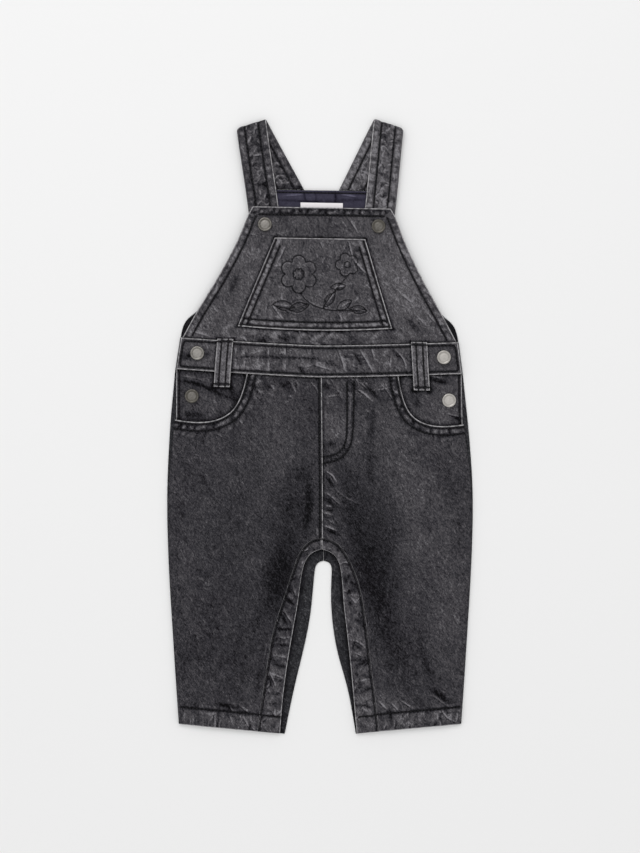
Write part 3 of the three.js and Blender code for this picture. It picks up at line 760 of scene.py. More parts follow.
class Panel(CreasedPanel):
    """A panel that can be settled, dressed in its material and sewn."""

    def settle(self):
        """Move the vertices: the faces by what was shaped, and the rim into a round edge."""
        flat = np.hypot(self.normal[:, 0], self.normal[:, 1])
        rim = self.rim & (flat > UPRIGHT)
        to_wall = (2 * self.top - 1)[rim]
        depth = min(EDGE_ROUND, self.thick / 2) * (1 - np.sqrt(np.clip(1 - to_wall**2, 0, 1)))
        self.at[rim, :2] -= depth[:, None] * self.normal[rim, :2] / flat[rim, None]
        if self.folded:
            share = np.where(self.top > 0.5, 1.0, INNER_SHARE) * abs(2 * self.top - 1)
            self.at += (self.rise * share)[:, None] * self.normal
            self.at[:, 2] = np.maximum(self.at[:, 2], 0)
        else:
            self.at[:, 2] += self.rise * self.top
        self.piece.data.vertices.foreach_set("co", (self.at * MM).ravel())

    def finish(self, rests_on, slot="denim", surface=washed_denim, under=shaded_inside_denim, flat=None):
        """Settle the cloth, hand its attributes to the material and lay its stitches."""
        self.settle()
        mesh = self.piece.data
        for name in MEASURED:
            mesh.attributes.new(name, "FLOAT", "POINT").data.foreach_set("value", getattr(self, name))
        mesh.materials.clear()
        mesh.materials.append(surface)
        mesh.materials.append(under)
        faces = mesh.polygons
        lower = np.array([self.top[face.vertices[0]] < 0.5 and face.normal.z < -0.5 for face in faces])
        faces.foreach_set("material_index", lower.astype(np.int32))
        faces.foreach_set("use_smooth", np.ones(len(faces), bool))
        mesh.update()
        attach(self.piece, "root")
        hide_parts(self.node)
        sewing = self.stitches()
        low, high = self.at.min(0), self.at.max(0)
        flat = flat or tuple((high - low)[:2] * MM)
        print(self.node, len(faces), "faces,", round(self.area * 1e4, 1), "square cm")

    def stitches(self):
        """One joined mesh of real stitches, laid along this panel's rows."""
        if not self.rows:
            return None
        bm = bmesh.new()
        for line, face, size in self.rows:
            for place, ahead in self.spaced(line, face, size * STITCH["pitch"]):
                lay_stitch(bm, place, ahead, size)
        mesh = bpy.data.meshes.new(f"{self.node}_stitches")
        bm.to_mesh(mesh)
        bm.free()
        mesh.materials.append(sewing_thread)
        mesh.shade_smooth()
        sewing = bpy.data.objects.new(mesh.name, mesh)
        bpy.context.collection.objects.link(sewing)
        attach(sewing, "root")
        return sewing

    def spaced(self, line, face, pitch):
        """Where each stitch of a row lies on the finished surface, and the way it runs."""
        tree, triangles = self.surface(face)
        ends = resampled(line, pitch)
        here = [self.lifted(tree, triangles, point) for point in ends]
        for (a, up), (b, _) in zip(here, here[1:]):
            yield (a + b) / 2 + up * STITCH["lift"], (b - a, up)

    def surface(self, face):
        """A search tree over the cut shape of one face, and its triangles."""
        if face not in self.trees:
            mesh = self.piece.data
            mesh.calc_loop_triangles()
            corners = [tuple(t.vertices) for t in mesh.loop_triangles]
            corners = [t for t in corners if all(self.top[v] == face for v in t)]
            cut = [(x, y, 0) for x, y in self.place]
            self.trees[face] = BVHTree.FromPolygons(cut, corners), corners
        return self.trees[face]

    def lifted(self, tree, triangles, point):
        """A place on the cut shape, taken to where it lies, with the way that is up there."""
        spot, _, index, _ = tree.find_nearest((*point, 0))
        trio = triangles[index]
        cut = [Vector((*self.place[v], 0)) for v in trio]
        lies = [Vector(self.at[v]) for v in trio]
        up = geometry.normal(lies)
        return geometry.barycentric_transform(spot, *cut, *lies), up


# %% [markdown]
# ## Thread
#
# The seams are sewn tone on tone with thick black cotton, about three stitches to the centimetre.
# Each stitch is one small closed shape, longer than it is wide, that dips into the furrow at both
# ends. They are repeated along a row and joined into one mesh for each panel. A row says how large
# its stitches are, because the motif on the pocket is sewn with stitches half as long.

# %% Stitches
STITCH = {"pitch": 3.0, "length": 2.5, "width": 0.75, "lift": 0.08}

sewing_thread, tree, shader = material("black_cotton_thread")
twist = add(tree, "ShaderNodeTexNoise", {
    "Vector": add(tree, "ShaderNodeTexCoord").outputs["Object"], "Scale": 1 / (0.9 * MM)})
black = add(tree, "ShaderNodeMix", {
    "Factor": twist.outputs["Fac"], "A": colour("#08080a"), "B": colour("#1e1d21")},
    data_type="RGBA").outputs[2]
tree.links.new(black, shader.inputs["Base Color"])
shader.inputs["Roughness"].default_value = 0.7
shader.inputs["Specular IOR Level"].default_value = 0.25


def lay_stitch(bm, place, direction, scale):
    """Add one stitch, a stretched ball of a few dozen faces."""
    ahead, up = direction
    x = ahead.normalized()
    y = up.cross(x).normalized()
    turn = Matrix((x, y, x.cross(y))).transposed().to_4x4()
    half = (STITCH["length"] / 2, STITCH["width"] / 2, STITCH["width"] / 2)
    size = Matrix.Diagonal((*(scale * part for part in half), 1))
    matrix = Matrix.Scale(MM, 4) @ Matrix.Translation(place) @ turn @ size
    bmesh.ops.create_uvsphere(bm, u_segments=6, v_segments=4, radius=1, matrix=matrix)


# %% [markdown]
# ## Back of the garment
#
# The back lies on the floor and shows only where it passes the front: at the armholes, the sides
# and the crotch. What shows there is the wrong side of the cloth, painted darker for the shade it
# lies in beneath the front. Its right side lies face down, with the same washed dye and rows of
# stitches but no lumps, because it is pressed flat by the floor.

# %% Rows with rounded corners
def frame_row(panel, spots, inset, corner):
    """One closed row inside several sides of a panel, taken anticlockwise, with rounded corners."""
    trim = (inset + corner, inset + corner)
    sides = [panel.side(x, y, inset=inset, trim=trim) for x, y in spots]
    row = []
    for here, after in zip(sides, sides[1:] + sides[:1]):
        ahead = here[-1] - here[-2]
        meet = here[-1] + corner * ahead / np.linalg.norm(ahead)
        row += [here, drawn(here[-1], meet, after[0])]
    return resampled(np.concatenate(row + [sides[0][:1]]), LINE_STEP)


# %% Back panels
HEM_ROW = 6.6
LEG_HEM_ROW = 14.6

back_bib = Panel("back_bib", levels=2, tone=0.42)
for x in (-85, 85):
    back_bib.worn(back_bib.side(x, 125), width=0.9, faint=0.3)
    back_bib.sew(back_bib.side(x, 125, inset=HEM_ROW, trim=(5.5, 5.5)), face=0)
back_bib.rumple(height=0.05)
back_bib.finish(rests_on=["floor"], surface=shaded_inside_denim, under=washed_denim)

WAIST_SPOTS = [(0, 42), (119, 58), (0, 70), (-119, 58)]
back_waistband = Panel("back_waistband", levels=2, tone=0.5, thick=1.8)
back_waistband.worn(*[back_waistband.side(x, y) for x, y in WAIST_SPOTS], width=0.8, faint=0.4)
back_waistband.sew(frame_row(back_waistband, WAIST_SPOTS, inset=2.6, corner=4), face=0)
back_waistband.finish(rests_on=["floor"], surface=shaded_inside_denim, under=washed_denim)

for word, way in (("left", -1), ("right", 1)):
    leg = Panel(f"back_leg_{word}", levels=2, tone=0.64)
    leg.sew(leg.side(way * 60, -256, inset=LEG_HEM_ROW), leg.side(way + 1, -30, inset=2.0), face=0)
    # painted shadow beside the edge of the inseam band
    leg.paint_shadow_beside(f"inseam_band_{word}", amount=0.3, reach=2.2)
    leg.wrinkles(26, height=0.16, length=8, angle=10, seed=way + 31,
                 low=(way * 22 - 18, -250), high=(way * 22 + 18, -105))
    leg.rumple(height=0.08)
    leg.finish(rests_on=["floor"], surface=shaded_inside_denim, under=washed_denim)

# %% [markdown]
# ## Front legs
#
# A front leg runs from the waistband to the hem. Its top corner is cut away in a scoop, the mouth
# of the hip pocket, turned in and sewn with two rows. The right leg laps over the left at the
# centre front, where a mock fly is sewn on it in two rows that end in a curve. Each row below is
# a ridge, or a trough where its height is negative, with how wide it is and where it runs.

# %% Creases and shades of the front legs
LEG_CREASES = {
    "left": [
        # height, width, then points from one end to the other
        (0.26, 1.0, (-54, 32), (-50, 29)),
        (0.30, 1.1, (-43, 37), (-39, 32)),
        (0.26, 1.1, (-26, 39), (-22, 34)),
        (0.30, 1.0, (-7, 37), (-3, 33), (-1, 27)),
        (0.26, 1.0, (-54, 27), (-49, 22)),
        (-0.20, 1.4, (-48, 36), (-43, 28)),
        (-0.16, 1.4, (-33, 37), (-27, 30)),
        (0.28, 1.2, (-69, 6), (-65, 2)),
        (0.28, 1.2, (-89, -5), (-82, -9)),
        (-0.24, 3.6, (-8, -44), (-9, -71), (-12, -92)),
        (0.30, 1.2, (-3, -85), (-2, -93)),
        (0.34, 1.2, (-77, -236), (-74, -241)),
        (0.36, 1.3, (-68, -236), (-61, -242)),
        (-0.40, 1.8, (-88, -235), (-78, -237), (-69, -239)),
        (0.32, 1.3, (-89, -243), (-89, -253)),
        (0.30, 1.4, (-76, -246), (-74, -252)),
        (0.40, 1.4, (-65, -246), (-59, -256)),
        (-0.40, 1.2, (-61, -250), (-58, -258)),
        (-0.14, 3.0, (-47, -190), (-52, -215), (-55, -236)),
        (0.14, 1.6, (-44, -180), (-49, -205)),
    ],
    "right": [
        (0.40, 1.3, (31, 32), (38, 28), (45, 21)),
        (0.30, 1.2, (33, 39), (40, 32)),
        (0.36, 1.2, (50, 38), (55, 33), (61, 25)),
        (0.26, 1.2, (54, 38), (60, 31)),
        (0.24, 1.0, (45, 32), (56, 31)),
        (-0.30, 1.4, (36, 38), (45, 29), (51, 22)),
        (-0.26, 1.4, (26, 38), (33, 30)),
        (0.26, 1.1, (4, 25), (18, 27)),
        (-0.12, 3.0, (43, 19), (45, 2), (44, -15)),
        (0.24, 1.0, (39, 15), (42, 11)),
        (-0.26, 2.0, (4, -16), (15, -14)),
        (0.44, 1.3, (5, -38), (10, -40), (14, -47)),
        (0.40, 1.3, (5, -56), (10, -59), (16, -65)),
        (0.30, 1.2, (15, -55), (22, -60)),
        (0.28, 1.2, (22, -60), (32, -65)),
        (0.34, 1.1, (5, -67), (10, -68)),
        (0.38, 1.2, (4, -73), (11, -75)),
        (0.38, 1.2, (6, -78), (12, -82)),
        (0.42, 1.3, (4, -84), (14, -88)),
        (-0.40, 1.4, (4, -87), (16, -92)),
        (-0.36, 1.4, (4, -60), (13, -68)),
        (-0.34, 1.4, (5, -42), (12, -51)),
        (-0.34, 1.2, (4, -70), (11, -72)),
        (-0.34, 1.2, (4, -76), (10, -79)),
        (0.36, 1.3, (103, -240), (108, -248), (117, -251)),
        (-0.34, 2.0, (92, -221), (102, -229), (112, -236)),
        (0.26, 1.4, (96, -228), (108, -237)),
        (0.30, 1.4, (50, -233), (57, -240)),
        (0.30, 1.4, (60, -234), (67, -241)),
        (0.30, 1.4, (70, -233), (79, -239)),
        (-0.16, 3.2, (84, -176), (88, -200), (98, -222)),
    ],
}
LEG_FOLD_SHADING = {
    "left": [
        # broad soft folds, as above; the shade in their troughs and the light on their ridges are painted
        (-0.10, 12, (-14, -20), (-22, -60), (-30, -100)),
        (-0.15, 11, (-28, -100), (-40, -130), (-46, -165)),
        (-0.05, 12, (-60, -160), (-66, -200), (-80, -225)),
        (0.05, 10, (-40, 20), (-34, -10), (-30, -40)),
        (0.04, 14, (-108, -50), (-112, -120), (-108, -200)),
    ],
    "right": [
        (-0.13, 12, (22, -30), (26, -70), (34, -110)),
        (-0.14, 12, (34, -105), (50, -150), (66, -195), (82, -232)),
        (0.13, 13, (68, -20), (76, -70), (82, -130), (92, -205)),
        (-0.07, 7, (92, -20), (108, -42), (116, -70)),
        (0.07, 12, (112, -110), (112, -160), (108, -220)),
        (-0.10, 4, (40, 8), (43, -20), (44, -60)),
    ],
}
LEG_SHADES = {
    "left": [
        # where a soft patch lies, how wide and high it is, and how much lighter it is painted, darker if
        # negative
        (-34, -20, (30, 32), 0.07),
        # painted shade of a broad fold on the inner thigh
        (-28, -130, (13, 34), -0.15),
        (-92, -140, (26, 60), -0.04),
        (-98, -190, (18, 22), -0.05),
        (-49, -235, (20, 18), 0.09),
    ],
    "right": [
        (14, 0, (12, 16), 0.16),
        (50, 2, (22, 18), 0.07),
        # painted shade of a broad fold down the inner thigh
        (51, -107, (17, 44), -0.18),
        (34, -120, (9, 26), -0.07),
        (82, -41, (20, 34), 0.07),
        (86, -155, (13, 45), -0.07),
        (106, -125, (16, 75), 0.05),
        (49, -239, (28, 14), 0.09),
    ],
}
FLY_ROWS = [
    drawn((23, 37), (23, 12), (23, -10), (20, -19), (12, -25), (3.2, -25.5)),
    drawn((29, 38), (28.6, 14), (28, -8), (25, -20), (16, -29), (3.2, -31)),
]

# %% Front legs
LEG_TONES = {"left": 0.51, "right": 0.52}
SCOOP_ROWS = (2.0, 7.6)

for word, way in (("left", -1), ("right", 1)):
    leg = Panel(f"front_leg_{word}", levels=3, tone=LEG_TONES[word])
    scoop = leg.side(way * 92, 3)
    hem = leg.side(way * 88, -256)
    hem_row = leg.side(way * 88, -256, inset=LEG_HEM_ROW)
    inseam = leg.side(way * 36, -160)
    centre = leg.side(1, -30)
    leg.worn(scoop, width=0.9)
    if word == "right":
        leg.worn(centre, width=0.65, faint=0.1)
    leg.worn(inseam, width=0.9, faint=0.75)
    leg.worn(hem, width=0.8, faint=0.55)
    leg.sew(*[leg.side(way * 92, 3, inset=inset) for inset in SCOOP_ROWS], depth=0.3)
    leg.pucker(scoop, start=2.6, end=7.0, step=4.8, height=0.58, seed=way + 3)
    leg.pucker(scoop, start=8.2, end=14, step=5.2, height=0.26 - 0.08 * way, slant=0.5, seed=way + 9)
    leg.sew(hem_row, depth=0.34)
    leg.fade(hem, reach=15, amount=0.08)
    leg.pucker(hem, start=0.4, end=13.8, step=8, height=0.18, slant=0.12, seed=way + 13)
    leg.pucker(hem_row, start=0.8, end=4.5, step=8, height=0.26, seed=way + 15)
    for height, width, *points in LEG_CREASES[word] + LEG_FOLD_SHADING[word]:
        leg.crease(height, width, *points)
    for shade in LEG_SHADES[word]:
        leg.shade(*shade)
    leg.wrinkles(420, height=0.10, length=5, angle=-55, seed=way + 21,
                 low=(way * 66 - 60, -240), high=(way * 66 + 60, 36))
    leg.wrinkles(40, height=0.20, length=7, angle=-48, seed=way + 22, spread=12,
                 low=(way * 40 - 36, 24), high=(way * 40 + 26, 40))
    leg.wrinkles(40, height=0.20, length=6, angle=82, seed=way + 23, spread=12,
                 low=(way * 88 - 34, -259), high=(way * 88 + 34, -243))
    # painted shadow below the waistband and the belt loop
    leg.paint_shadow_beside("front_waistband", f"belt_loop_{word}")
    if word == "left":
        leg.sew(leg.side(1, -30, inset=1.4), depth=0.34)
    else:
        # a trough beside the lapped centre edge, painted dark as the shadow that edge casts
        leg.crease(-0.3, 0.9, (2.7, 36), (2.6, -30), (2.6, -94))
        leg.sew(*FLY_ROWS, depth=0.34)
        leg.crease(0.14, 1.3, (25.7, 34), (25.6, 0), (24, -14))
    leg.rumple(height=0.10, size=12)
    leg.finish(rests_on=[f"back_leg_{word}_cloth"])

# %% [markdown]
# ## Inseam bands and pocket facings
#
# A strip faces the front of each inseam, turned under at its free edge. Nothing stretches it, so it
# has bunched up into blocks with sharp folds between them. The facing inside each hip pocket lies
# deeper than the cloth round it, with a shadow painted along every edge that covers it.

# %% Inseam bands
BAND_CREASES = {
    "left": [
        (-0.36, 1.0, (-33.5, -172), (-23, -172)),
        (-0.36, 1.0, (-38, -185), (-24.5, -186)),
        (-0.36, 1.0, (-40, -202), (-27.5, -204)),
        (0.34, 1.0, (-45, -208), (-38, -210), (-31, -214)),
        (0.34, 1.0, (-42, -209), (-37, -221)),
        (-0.28, 1.4, (-44, -213), (-40, -222)),
        (0.34, 1.0, (-31, -155), (-24, -166)),
        (-0.30, 1.3, (-34, -158), (-28, -168)),
        (0.30, 1.0, (-23, -135), (-20, -144)),
        (-0.30, 1.3, (-30, -146), (-22, -150)),
        (-0.34, 1.1, (-28, -138), (-22, -141)),
        (-0.34, 1.2, (-36, -154), (-32, -157)),
        (-0.30, 1.2, (-46, -226), (-34, -227)),
        (-0.24, 1.2, (-45, -235), (-37, -236)),
        (0.26, 1.6, (-36, -178), (-28, -180)),
        (0.28, 1.8, (-38, -194), (-28, -196)),
    ],
    "right": [
        (0.34, 1.0, (25, -181), (34, -182), (40, -190)),
        (-0.30, 1.2, (26, -184), (32, -186), (38, -194)),
        (-0.26, 1.4, (30, -203), (41, -200)),
        (-0.38, 1.2, (28, -163), (37, -166)),
        (0.28, 1.6, (30, -192), (37, -195)),
        (-0.42, 1.2, (23, -141), (32, -139)),
        (-0.42, 1.5, (24, -130), (30, -135)),
        (-0.36, 1.2, (34, -140), (38, -145)),
        (-0.34, 1.3, (24, -149), (28, -152)),
        (0.30, 1.6, (27, -146), (31, -150)),
        (-0.36, 1.0, (27, -198), (41, -199)),
        (-0.36, 1.0, (29, -209), (33, -211)),
        (-0.34, 1.1, (36, -211), (44, -214)),
        (-0.38, 1.1, (29, -219), (37, -218)),
        (-0.36, 1.1, (29, -236), (45, -238)),
        (-0.22, 1.4, (33, -226), (44, -222)),
        (0.20, 1.4, (34, -216), (42, -214)),
    ],
}
BAND_TONES = {"left": 0.58, "right": 0.61}

for word, way in (("left", -1), ("right", 1)):
    band = Panel(f"inseam_band_{word}", levels=3, tone=BAND_TONES[word], thick=1.6)
    inner = band.side(way * 20, -150)
    outer = band.side(way * 37, -160)
    band.worn(inner, width=0.8, faint=0.25)
    band.worn(band.side(1.5 + 0.2 * way, -98), width=0.8)
    band.sew(band.side(way * 37, -160, inset=1.1), depth=0.30, size=0.8)
    band.shade(way * 44, -240, (14, 26), 0.08)
    band.shade(way * 30, -150, (12, 22), -0.04 + 0.06 * way)
    band.sew(drawn((way * 54, -244.5), (way * 43, -245.5), (way * 33, -246.5)), depth=0.34)
    band.pucker(outer, start=1.8, end=11, step=9, height=0.15, slant=0.15, seed=way + 17)
    band.wrinkles(90, height=0.26, length=5, angle=10, seed=way + 18, spread=50,
                  low=(way * 28 - 24, -250), high=(way * 28 + 24, -92))
    for height, width, *points in BAND_CREASES[word]:
        band.crease(height, width, *points)
    band.rumple(height=0.36, size=4.5)
    length = runs(outer)[-1] * MM
    band.finish(rests_on=[f"back_leg_{word}_cloth"], flat=(band.area / length, length))

# %% Hip pocket facings
FACING_CREASES = {
    "left": [
        (-0.42, 1.3, (-121, 39), (-108, 38), (-94, 32), (-82, 26), (-72, 22)),
        (0.16, 1.6, (-120, 43), (-106, 42), (-93, 37)),
        (-0.26, 2.6, (-118, 11), (-98, 9)),
        (-0.24, 3.0, (-76, 34), (-71, 20)),
        (0.24, 1.4, (-92, 16), (-88, 11)),
    ],
    "right": [
        (-0.55, 1.8, (94, 40), (108, 37)),
        (-0.50, 1.6, (112, 9), (120, 6)),
        (0.35, 1.2, (108, 11), (120, 8)),
        (-0.18, 4.0, (80, 30), (84, 14)),
        (0.30, 1.6, (92, 43), (104, 41)),
    ],
}
FACING_TONES = {"left": 0.56, "right": 0.63}

for word, way in (("left", -1), ("right", 1)):
    facing = Panel(f"pocket_facing_{word}", levels=3, tone=FACING_TONES[word])
    facing.worn(facing.side(way * 121.5, 20), width=0.8, faint=0.3)
    facing.sew(facing.side(way * 121.5, 20, inset=2.4))
    # painted shadow along the edges that cover the facing
    facing.paint_shadow_beside("front_waistband", f"front_leg_{word}", f"belt_loop_{word}", amount=0.34, reach=2.4)
    facing.wrinkles(30, height=0.10, length=6, angle=-55, seed=way + 61,
                    low=(way * 96 - 26, 4), high=(way * 96 + 26, 42))
    for height, width, *points in FACING_CREASES[word]:
        facing.crease(height, width, *points)
    facing.rumple(height=0.14)
    facing.finish(rests_on=[f"back_leg_{word}_cloth"])

# %% [markdown]
# ## Bib and its pocket
#
# The bib's top and sides are turned under twice, which makes a thick hem full of lumps. On it sits
# a pocket, sewn down with two rows, and on the pocket a motif is stitched in black thread: two
# blossoms on a leafy stem. The thread draws the cloth down along each line, and it stands up pale
# beside it.

# %% Bib
BIB_CREASES = [
    (0.36, 1.1, (23, 178), (27, 173), (32, 165)),
    (0.26, 1.4, (65, 117), (71, 111), (77, 106)),
    (0.28, 1.5, (-106, 80), (-101, 79), (-95, 77)),
    (0.24, 1.8, (80, 96), (92, 84)),
    (0.24, 1.6, (88, 100), (98, 88)),
    (-0.26, 2.2, (74, 92), (84, 78)),
    (-0.24, 3.0, (-70, 130), (-76, 112)),
]

bib = Panel("front_bib", levels=3, tone=0.665)
for x, y, lumps in ((0, 186, 0.50), (-90, 120, 0.40), (90, 120, 0.32)):
    edge = bib.side(x, y)
    bib.worn(edge, width=0.9)
    bib.pucker(edge, start=1.4, end=6.0, step=5.0, height=lumps, slant=0.2, seed=x + 2)
    bib.sew(bib.side(x, y, inset=HEM_ROW, trim=(5.5, 5.5)), depth=0.34)
bib.shade(12, 183, (54, 3.5), -0.30)
bib.shade(0, 168, (40, 9), -0.07)
bib.shade(78, 125, (18, 34), 0.09)
waist_seam = drawn((-76, 80), (-40, 74), (0, 72), (40, 73), (64, 75))
bib.pucker(waist_seam, start=0, end=9, step=7.0, height=0.28, slant=0.9, seed=41)
for height, width, *points in BIB_CREASES:
    bib.crease(height, width, *points)
bib.wrinkles(260, height=0.12, length=5, angle=-50, seed=43,
             low=(-105, 76), high=(105, 178))
bib.wrinkles(26, height=-0.34, length=5, angle=-42, seed=44, spread=10,
             low=(-70, 73), high=(30, 82))
# painted shadow round the pocket, the waistband and the belt loops
bib.paint_shadow_beside("bib_pocket", amount=0.42)
bib.paint_shadow_beside("front_waistband", "belt_loop_left", "belt_loop_right")
bib.rumple(height=0.10, size=12)
bib.finish(rests_on=["back_bib_cloth"])

# %% Lines of the stitched motif
LEAF_POINTS = 13


def blossom(x, y, radius, petals):
    """A closed ring of rounded petals."""
    turn = np.linspace(0, 2 * math.pi, 16 * petals + 1)
    out = radius * (0.70 + 0.30 * np.abs(np.sin(petals * turn / 2)) ** 0.7)
    return np.stack([x + out * np.cos(turn), y + out * np.sin(turn)], axis=1)


def leaf(x1, y1, x2, y2, width):
    """A closed pointed oval from one tip to the other."""
    share = np.concatenate([np.linspace(0, 1, LEAF_POINTS), np.linspace(1, 0, LEAF_POINTS)[1:]])
    side = np.repeat([1, -1], (LEAF_POINTS, LEAF_POINTS - 1))
    ahead = np.array([x2 - x1, y2 - y1])
    across = np.array([-ahead[1], ahead[0]]) / np.linalg.norm(ahead)
    bulge = side * width / 2 * np.sin(math.pi * share)
    return np.array([x1, y1]) + share[:, None] * ahead + bulge[:, None] * across


LEAVES = [
    # tip by the stem, far tip, and width
    (3, 101, 13, 114, 7),
    (14, 99, 27, 107, 7),
    (25, 100, 40, 98, 7),
    (-9, 103, -27, 99, 8),
    (-22, 101, -40, 104, 8),
    (9, 118, 22, 119, 6),
]
BLOSSOMS = [
    # middle, radius and number of petals, with its heart after it
    (-18, 129, 16, 6),
    (-18, 129, 5, 8),
    (23, 137, 10, 5),
    (23, 137, 3, 6),
]
STEMS = [
    drawn((-16, 112), (-10, 104), (8, 97), (38, 99)),
    drawn((-10, 104), (-24, 98), (-40, 103)),
    drawn((2, 100), (10, 112), (22, 126)),
]
print("lines of the motif:", len(BLOSSOMS) + len(LEAVES) + len(STEMS))

# %% Bib pocket
MOTIF = [blossom(*flower) for flower in BLOSSOMS] + [leaf(*tips) for tips in LEAVES] + STEMS
MOTIF_STITCH = 0.45
MOTIF_STEP = 1.0
MOTIF_RIDGE = {"inset": 1.1, "strength": 0.5}
VEIN = {"height": 0.28, "width": 0.9, "starts": 0.2}
POCKET_HEM = 6.8
POCKET_CREASES = [
    (0.38, 1.0, (27, 144), (32, 137), (39, 130)),
    (0.34, 1.1, (24, 158), (26, 150), (28, 143)),
    (0.30, 1.3, (-30, 152), (-35, 141)),
    (0.34, 1.2, (-42, 106), (-37, 98), (-31, 91)),
    (0.26, 1.4, (0, 157), (4, 149)),
]

pocket = Panel("bib_pocket", levels=3, tone=0.64, thick=1.2)
for x, y, faint in ((-55, 120, 0.5), (0, 82, 0.1), (48, 120, 0.1)):
    edge = pocket.side(x, y)
    pocket.worn(edge, width=0.8, faint=faint)
    pocket.sew(pocket.side(x, y, inset=1.9, trim=(1.5, 1.5)), depth=0.34)
    pocket.sew(pocket.side(x, y, inset=POCKET_HEM, trim=(5.5, 5.5)), depth=0.34)
    pocket.fade(edge, reach=POCKET_HEM, amount=0.13)
    pocket.pucker(edge, start=2.6, end=6.2, step=4.8, height=0.42, seed=x + 2)
    pocket.pucker(edge, start=7.6, end=13, step=7, height=0.16, slant=0.5, seed=x + 4)
pocket.worn(pocket.side(-3, 160), width=0.8, faint=0.1)
pocket.wrinkles(120, height=0.14, length=6, angle=-50, seed=45, spread=45,
                low=(-62, 86), high=(56, 157))
for shape in MOTIF:
    row = resampled(shape, MOTIF_STEP)
    pocket.sew(row, depth=0.2, pull=0.9, size=MOTIF_STITCH)
    pocket.ridge(moved_in(row, MOTIF_RIDGE["inset"]), MOTIF_RIDGE["strength"])
for x1, y1, x2, y2, _ in LEAVES:
    start = (x1 + VEIN["starts"] * (x2 - x1), y1 + VEIN["starts"] * (y2 - y1))
    pocket.crease(VEIN["height"], VEIN["width"], start, (x2, y2))
for height, width, *points in POCKET_CREASES:
    pocket.crease(height, width, *points)
pocket.rumple(height=0.16)
pocket.finish(rests_on=["front_bib_cloth"])

# %% [markdown]
# ## Waistband and belt loops
#
# The waistband is a stiffened strip sewn all round. The creases of its lining have printed through
# as upright blocks on the left, and on the right it is crossed by slanting creases.

# %% Waistband
BAND_BLOCKS = [
    # where each upright block begins and ends, and how much it stands up
    (-66.5, -62.5, 0.32),
    (-57.5, -48.0, 0.24),
    (-45.5, -42.0, 0.34),
    (-31.5, -28.0, 0.30),
    (-14.5, -9.5, 0.24),
    (52.0, 58.0, 0.22),
    (-73.0, -70.0, 0.28),
]
WAIST_CREASES = [
    (-0.32, 1.1, (-74, 59), (-45, 59), (-22, 58), (-4, 58), (2, 55), (11, 53), (16, 50)),
    (0.36, 0.9, (34, 65), (41, 54), (45, 46)),
    (0.36, 1.1, (44, 66), (46, 59)),
    (0.34, 0.9, (65, 64), (72, 57), (73, 49)),
    (0.36, 1.2, (16, 64), (19, 57), (21, 48)),
    (0.24, 1.0, (60, 59), (60, 53)),
    (-0.40, 1.3, (-20, 52), (-13, 45)),
    (-0.24, 1.5, (28, 64), (36, 51)),
    (-0.24, 1.5, (60, 66), (68, 57)),
    (0.26, 1.6, (-6, 53), (10, 48)),
    (-0.40, 3.0, (-117, 59), (-96, 62)),
]

waistband = Panel("front_waistband", levels=3, tone=0.64, thick=2.2)
for x, y in WAIST_SPOTS:
    waistband.worn(waistband.side(x, y), width=0.85, faint=0.1)
waistband.sew(frame_row(waistband, WAIST_SPOTS, inset=2.5, corner=4), depth=0.36)
# painted shadow beside the belt loops
waistband.paint_shadow_beside("belt_loop_left", "belt_loop_right")
waistband.shade(-36, 57, (40, 12), 0.03)
waistband.wrinkles(46, height=0.14, length=6, angle=90, seed=46, spread=14,
                   low=(-74, 44), high=(-4, 68))
waistband.wrinkles(34, height=0.12, length=6, angle=-60, seed=47,
                   low=(4, 44), high=(76, 68))
waistband.wrinkles(40, height=0.16, length=7, angle=0, seed=48, spread=14,
                   low=(-74, 46), high=(40, 66))
for start, end, amount in BAND_BLOCKS:
    middle, half = (start + end) / 2, (end - start) / 2
    for low, high, share in ((47, 56, 0.8), (60, 67, 1.0)):
        waistband.crease(amount * share, half * 0.9, (middle, low), (middle + 0.4, high))
for height, width, *points in WAIST_CREASES:
    waistband.crease(height, width, *points)
waistband.rumple(height=0.12, size=7)
waistband.finish(rests_on=["front_leg_left_cloth", "front_leg_right_cloth"])

# %% Belt loops
LOOP_ROW = 4.0
for word, way in (("left", -1), ("right", 1)):
    loop = Panel(f"belt_loop_{word}", levels=3, tone=0.77, thick=1.6)
    for x in (76, 90):
        side = loop.side(way * x + 2.3, 52)
        loop.worn(side, width=1.1, faint=0.1)
        loop.sew(loop.side(way * x + 2.3, 52, inset=LOOP_ROW), depth=0.22, pull=0.8)
    foot = loop.side(way * 84.8 + 2.3, 32)
    head = loop.side(way * 82 + 2.3, 73)
    loop.worn(foot, head, width=0.9)
    loop.sew(loop.side(way * 84.8 + 2.3, 32, inset=2.6), depth=0.35)
    loop.sew(loop.side(way * 82 + 2.3, 73, inset=2.4), depth=0.35)
    loop.wrinkles(16, height=0.12, length=4, angle=0, seed=way + 71, spread=60,
                  low=(way * 83 - 8, 32), high=(way * 83 + 12, 72))
    loop.rumple(height=0.12, size=5)
    loop.finish(rests_on=["front_waistband_cloth"])

# %% [markdown]
# ## Shoulder straps
#
# A strap is one strip, folded over at the shoulder. It is worked on unrolled, as it was sewn: across
# it from the side nearest the neck, and along it from the end behind the bib. Lumps lie between
# each row and its edge, and slanting wrinkles between the rows.

# %% Straps
STRAP_ROWS = (7.0, 18.8)
STRAP_TONES = {"left": 0.61, "right": 0.76}

